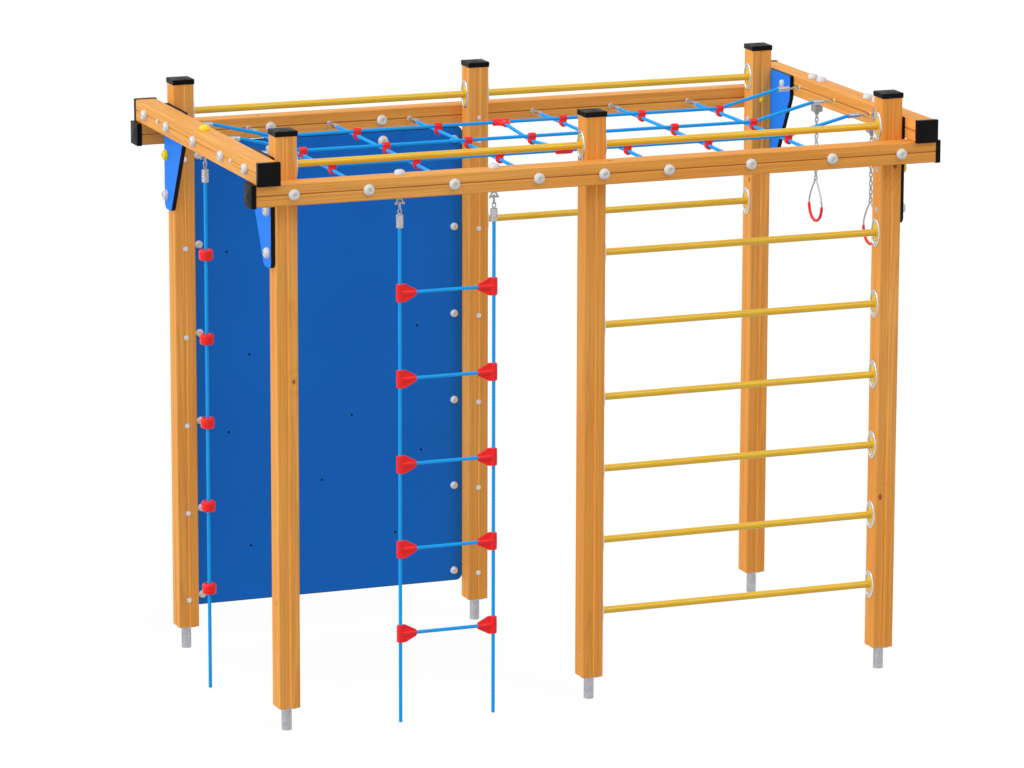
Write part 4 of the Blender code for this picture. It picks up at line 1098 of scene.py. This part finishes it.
for row, y in (("front", -hanger_y), ("back", hanger_y)):
    bm = bmesh.new()
    base = (0.025, 0.075, 0.008, hanger_base_low, crossbeam_underside - 0.0003, 0.0012)
    housing = (0.0245, 0.0245, 0.011, hanger_housing_low, hanger_base_low + 0.001, 0.0022)
    for block in (base, housing):
        slab(bm, lambda u, v, w: Vector((crossbeam_x + u, y + v, w)), *block)
    shaft = [(-0.001, 0.0190), (0.002, 0.0185), (0.004, 0.0152), (0.012, 0.0095), (0.0175, 0.0072)]
    turned(bm, (crossbeam_x, y, hanger_housing_low), (0, 0, -1), shaft, 28)
    head = [(0, 0.0085), (0.0003, 0.0085), (0.0005, 0.0068), (0.0005, 0.0)]
    for up in hanger_screws:
        for side in (-1, 1):
            turned(bm, (crossbeam_x + side * 0.0243, y, up), (side, 0, 0), head, 20)
    hanger = piece(f"hanger_{row}", bm, hanger_finish, "frame")
    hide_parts(f"ring_hanger_{row}")
    bm = bmesh.new()
    centre = Vector((crossbeam_x, y, hanger_eye_centre))
    eye = section(centre, Vector((0, 1, 0)), Vector((0, 0, 1)), 0.009, 28)
    bar(bm, eye, 0.003, 12, closed=True)
    head = [(0.0, 0.0095), (0.0008, 0.0102), (0.0060, 0.0102), (0.0068, 0.0094), (0.0068, 0.0)]
    for bolt in (-hanger_bolt_reach, hanger_bolt_reach):
        turned(bm, (crossbeam_x, y + bolt, hanger_base_low), (0, 0, -1), head, 6)
    hanger_eye = piece(f"hanger_eye_{row}", bm, steel_finish, "frame")
    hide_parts(f"ring_hanger_{row}")
    bm = bmesh.new()
    for k in range(chain_links):
        high = chain_top - k * chain_step
        ends = (high, high - chain_link_length)
        link_shape(bm, crossbeam_x, y, *ends, chain_half_width, chain_rod, k % 2 == 0, 8, 10)
    chain = piece(f"chain_{row}", bm, steel_finish, f"{row}_chain")
    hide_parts(f"ring_chain_{row}")
    bm = bmesh.new()
    ring_line = teardrop(y)
    bar(bm, ring_line, ring_rod, 14, closed=True)
    rod = piece(f"ring_rod_{row}", bm, steel_finish, f"{row}_ring")
    bm = bmesh.new()
    grip_start = apex_points + side_points
    held = ring_line[grip_start : grip_start + bow_points]
    thick = [grip_radius] * len(held)
    thick[0] = thick[-1] = grip_radius * 0.72
    thick[1] = thick[-2] = grip_radius * 0.97
    bar(bm, held, thick, 20)
    grip = piece(f"ring_grip_{row}", bm, red_finish, f"{row}_ring")
    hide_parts(f"swing_ring_{row}")
    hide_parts(f"swing_ring_{row}")


# Fixings: bolts run through the timber, and each end is closed by a domed nylon cover in two parts,
# a ring and a cap, through whose top the zinc plated bolt shows. Most are white and a few are
# yellow. Smaller covers hold the board, and plain domed nuts close the short bolts.
cover_profile = (
    (0.0, 0.0256),
    (0.0020, 0.0266),
    (0.0062, 0.0268),
    (0.0080, 0.0258),
    (0.0084, 0.0250),
    (0.0090, 0.0256),
    (0.0130, 0.0249),
    (0.0175, 0.0226),
    (0.0205, 0.0187),
    (0.0224, 0.0150),
    (0.0231, 0.0122),
    (0.0232, 0.0112),
    (0.0226, 0.0105),
    (0.0196, 0.0103),
    (0.0192, 0.0),
)
small_size = 0.74
cover_head = ((0.0188, 0.0080), (0.0206, 0.0080), (0.0212, 0.0073), (0.0213, 0.0))
nut_profile = (
    (0.0, 0.0122),
    (0.0010, 0.0130),
    (0.0024, 0.0128),
    (0.0032, 0.0098),
    (0.0060, 0.0086),
    (0.0078, 0.0054),
    (0.0084, 0.0),
)
bracket_bolts_up = (2.487, 2.290)
bracket_bolts_out = (-0.55, 0.58)
board_bolts_z, board_bolts_x = 2.481, (-1.058, -0.473)
beam_bolts_z, beam_bolts_x = 2.583, (-1.054, -0.474)
strap_bolt_in = 0.044
pilot_holes_z, pilot_holes_y = 0.226, (-0.7422, -0.8016)
white_covers, yellow_covers, bolt_heads, domed_nuts = (bmesh.new() for _ in range(4))


def resized(profile, size):
    return [(along * size, radius * size) for along, radius in profile]


def cover(bm, foot, way, size=1.0):
    foot = Vector(foot) + Vector(way) * 0.0002
    turned(bm, foot, way, resized(cover_profile, size), 36)
    turned(bolt_heads, foot, way, resized(cover_head, size), 6)


def domed_nut(foot, way, size=1.0, bm=None):
    turned(bm or domed_nuts, foot, way, resized(nut_profile, size), 24)


beam_outer = beam_y + timber_half
crossbeam_outer = crossbeam_x + timber_half
crossbeam_top = crossbeam_z + timber_half
beam_top = 2.636
for x in [*post_columns.values(), *net_columns]:
    cover(white_covers, (x, -beam_outer, beam_z), (0, -1, 0))
    cover(white_covers, (x, beam_outer, beam_z), (0, 1, 0))
for x in beam_bolts_x:
    cover(white_covers, (x, beam_face + 0.0003, beam_bolts_z), (0, -1, 0))
for right in (-1, 1):
    for y in (-frame_depth / 2, frame_depth / 2, *net_rows):
        cover(white_covers, (right * crossbeam_outer, y, crossbeam_z), (right, 0, 0))
    for y in bracket_bolts_out:
        domed_nut((right * crossbeam_outer, y, crossbeam_z), (right, 0, 0), 1.0, white_covers)
        inner = post_spacing + timber_half + 0.0003
        cover(white_covers, (right * inner, y, crossbeam_z), (-right, 0, 0), small_size)
    for back in (-1, 1):
        y = back * frame_depth / 2
        for z in bracket_bolts_up:
            yellow = z == bracket_bolts_up[0] and right * back < 0
            cover(yellow_covers if yellow else white_covers, (right * crossbeam_face, y, z), (right, 0, 0))
            domed_nut((right * (post_spacing - timber_half + 0.002), y, z), (-right, 0, 0), 1.1)
for x in (ladder_middle_x - ladder_half_width, ladder_middle_x + ladder_half_width):
    cover(white_covers, (x, -beam_y, beam_top), (0, 0, 1))
cover(yellow_covers, (-crossbeam_x, 0, crossbeam_top), (0, 0, 1))
for y in (-hanger_y, hanger_y):
    for reach in (-hanger_bolt_reach, hanger_bolt_reach):
        cover(white_covers, (crossbeam_x, y + reach, crossbeam_top), (0, 0, 1))
for z in strap_heights:
    for x in (board_left + strap_bolt_in, board_right - strap_bolt_in):
        cover(white_covers, (x, board_front, z), (0, -1, 0), small_size)
        domed_nut((x, strap_back, z), (0, 1, 0), 0.8)
    for x in (-post_spacing, 0.0):
        domed_nut((x, frame_depth / 2 - timber_half, z), (0, -1, 0), 1.0)
        domed_nut((x + (0.012 if x else -0.012), strap_back, z), (0, 1, 0), 0.8)
for x in board_bolts_x:
    cover(white_covers, (x, board_front, board_bolts_z), (0, -1, 0))
for x in post_columns.values():
    for back in (-1, 1):
        inner_face = back * (frame_depth / 2 - timber_half)
        if (x, back) != (post_spacing, 1):
            domed_nut((x, inner_face, beam_z), (0, -back, 0), 0.8)
domed_nut((post_spacing, frame_depth / 2 - timber_half, beam_z), (0, -1, 0), 1.0, yellow_covers)
for y in pilot_holes_y:
    domed_nut((-timber_half, y, pilot_holes_z), (-1, 0, 0), 0.35)
piece("bolt_covers_white", white_covers, white_finish, "frame")
piece("bolt_covers_yellow", yellow_covers, yellow_cover_finish, "frame")
piece("bolt_heads", bolt_heads, zinc_finish, "frame")
piece("domed_nuts", domed_nuts, bright_zinc, "frame")


# The floor and the sky are plain and white where they are seen. The light that they throw on the
# frame is weaker, and the floor keeps a faint shadow.
floor_half = 60.0
floor_tone = 0.45
shadow_share = 0.12
sky_level = 0.75
white = (1.0, 1.0, 1.0)


def seen(shading):
    """1 for a ray from the camera, a reflection or a clear surface, and 0 for the light that falls."""
    kinds = ("Is Camera Ray", "Is Glossy Ray", "Is Transmission Ray")
    rays = [shading.node("ShaderNodeLightPath", {}, {}, kind) for kind in kinds]
    return shading.spread(rays[0] + rays[1] + rays[2], 0.0, 1.0)


bm = bmesh.new()
corners = ((-1, -1), (1, -1), (1, 1), (-1, 1))
bm.faces.new([bm.verts.new((u * floor_half, v * floor_half, 0.0)) for u, v in corners])
floor_mesh = bpy.data.meshes.new("floor")
bm.to_mesh(floor_mesh)
bm.free()
floor_finish = Finish("white_floor", Roughness=0.9, Specular_IOR_Level=0.0)
floor_finish.surface(Base_Color=floor_finish.mixed(seen(floor_finish), (floor_tone,) * 3, white))
glow = floor_finish.node("ShaderNodeEmission", {}, {"Color": white, "Strength": 1.0})
shaded = Tone(floor_finish, floor_finish.shader.outputs[0])
glowing = {0: seen(floor_finish) * (1 - shadow_share), 1: shaded, 2: glow}
floor_surface = floor_finish.node("ShaderNodeMixShader", {}, glowing)
floor_finish.feed(floor_finish.tree.nodes["Material Output"].inputs["Surface"], floor_surface)
floor_mesh.materials.append(floor_finish.material)
floor = bpy.data.objects.new("floor", floor_mesh)
bpy.context.scene.collection.objects.link(floor)
floor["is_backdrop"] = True

world = bpy.data.worlds.new("sky")
bpy.context.scene.world = world
sky = Shading(world)
backdrop = sky.node("ShaderNodeBackground", {}, {"Color": white, "Strength": 1.0})
fill = sky.node("ShaderNodeBackground", {}, {"Color": white, "Strength": sky_level})
heaven = sky.node("ShaderNodeMixShader", {}, {0: seen(sky), 1: fill, 2: backdrop})
sky.feed(sky.tree.nodes["World Output"].inputs["Surface"], heaven)


# Two lamps, far off: a wide soft one from the left, without a shadow, lights the faces that look
# that way, and a small one from the front right gives the round pieces their glint.
lamps = (
    ("soft_key", 1.75, 45, (-0.85, -0.05, 0.52), False),
    ("glint", 0.35, 16, (0.35, -0.66, 0.68), True),
)
for name, energy, wide, way, shadow in lamps:
    lamp = bpy.data.objects.new(name, bpy.data.lights.new(name, "SUN"))
    lamp.data.energy = energy
    lamp.data.angle = math.radians(wide)
    lamp.data.use_shadow = shadow
    lamp.rotation_euler = Vector(way).to_track_quat("Z", "Y").to_euler()
    bpy.context.scene.collection.objects.link(lamp)

[[[float(v) for v in corner] for corner in box] for box in (cad_box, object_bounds())]
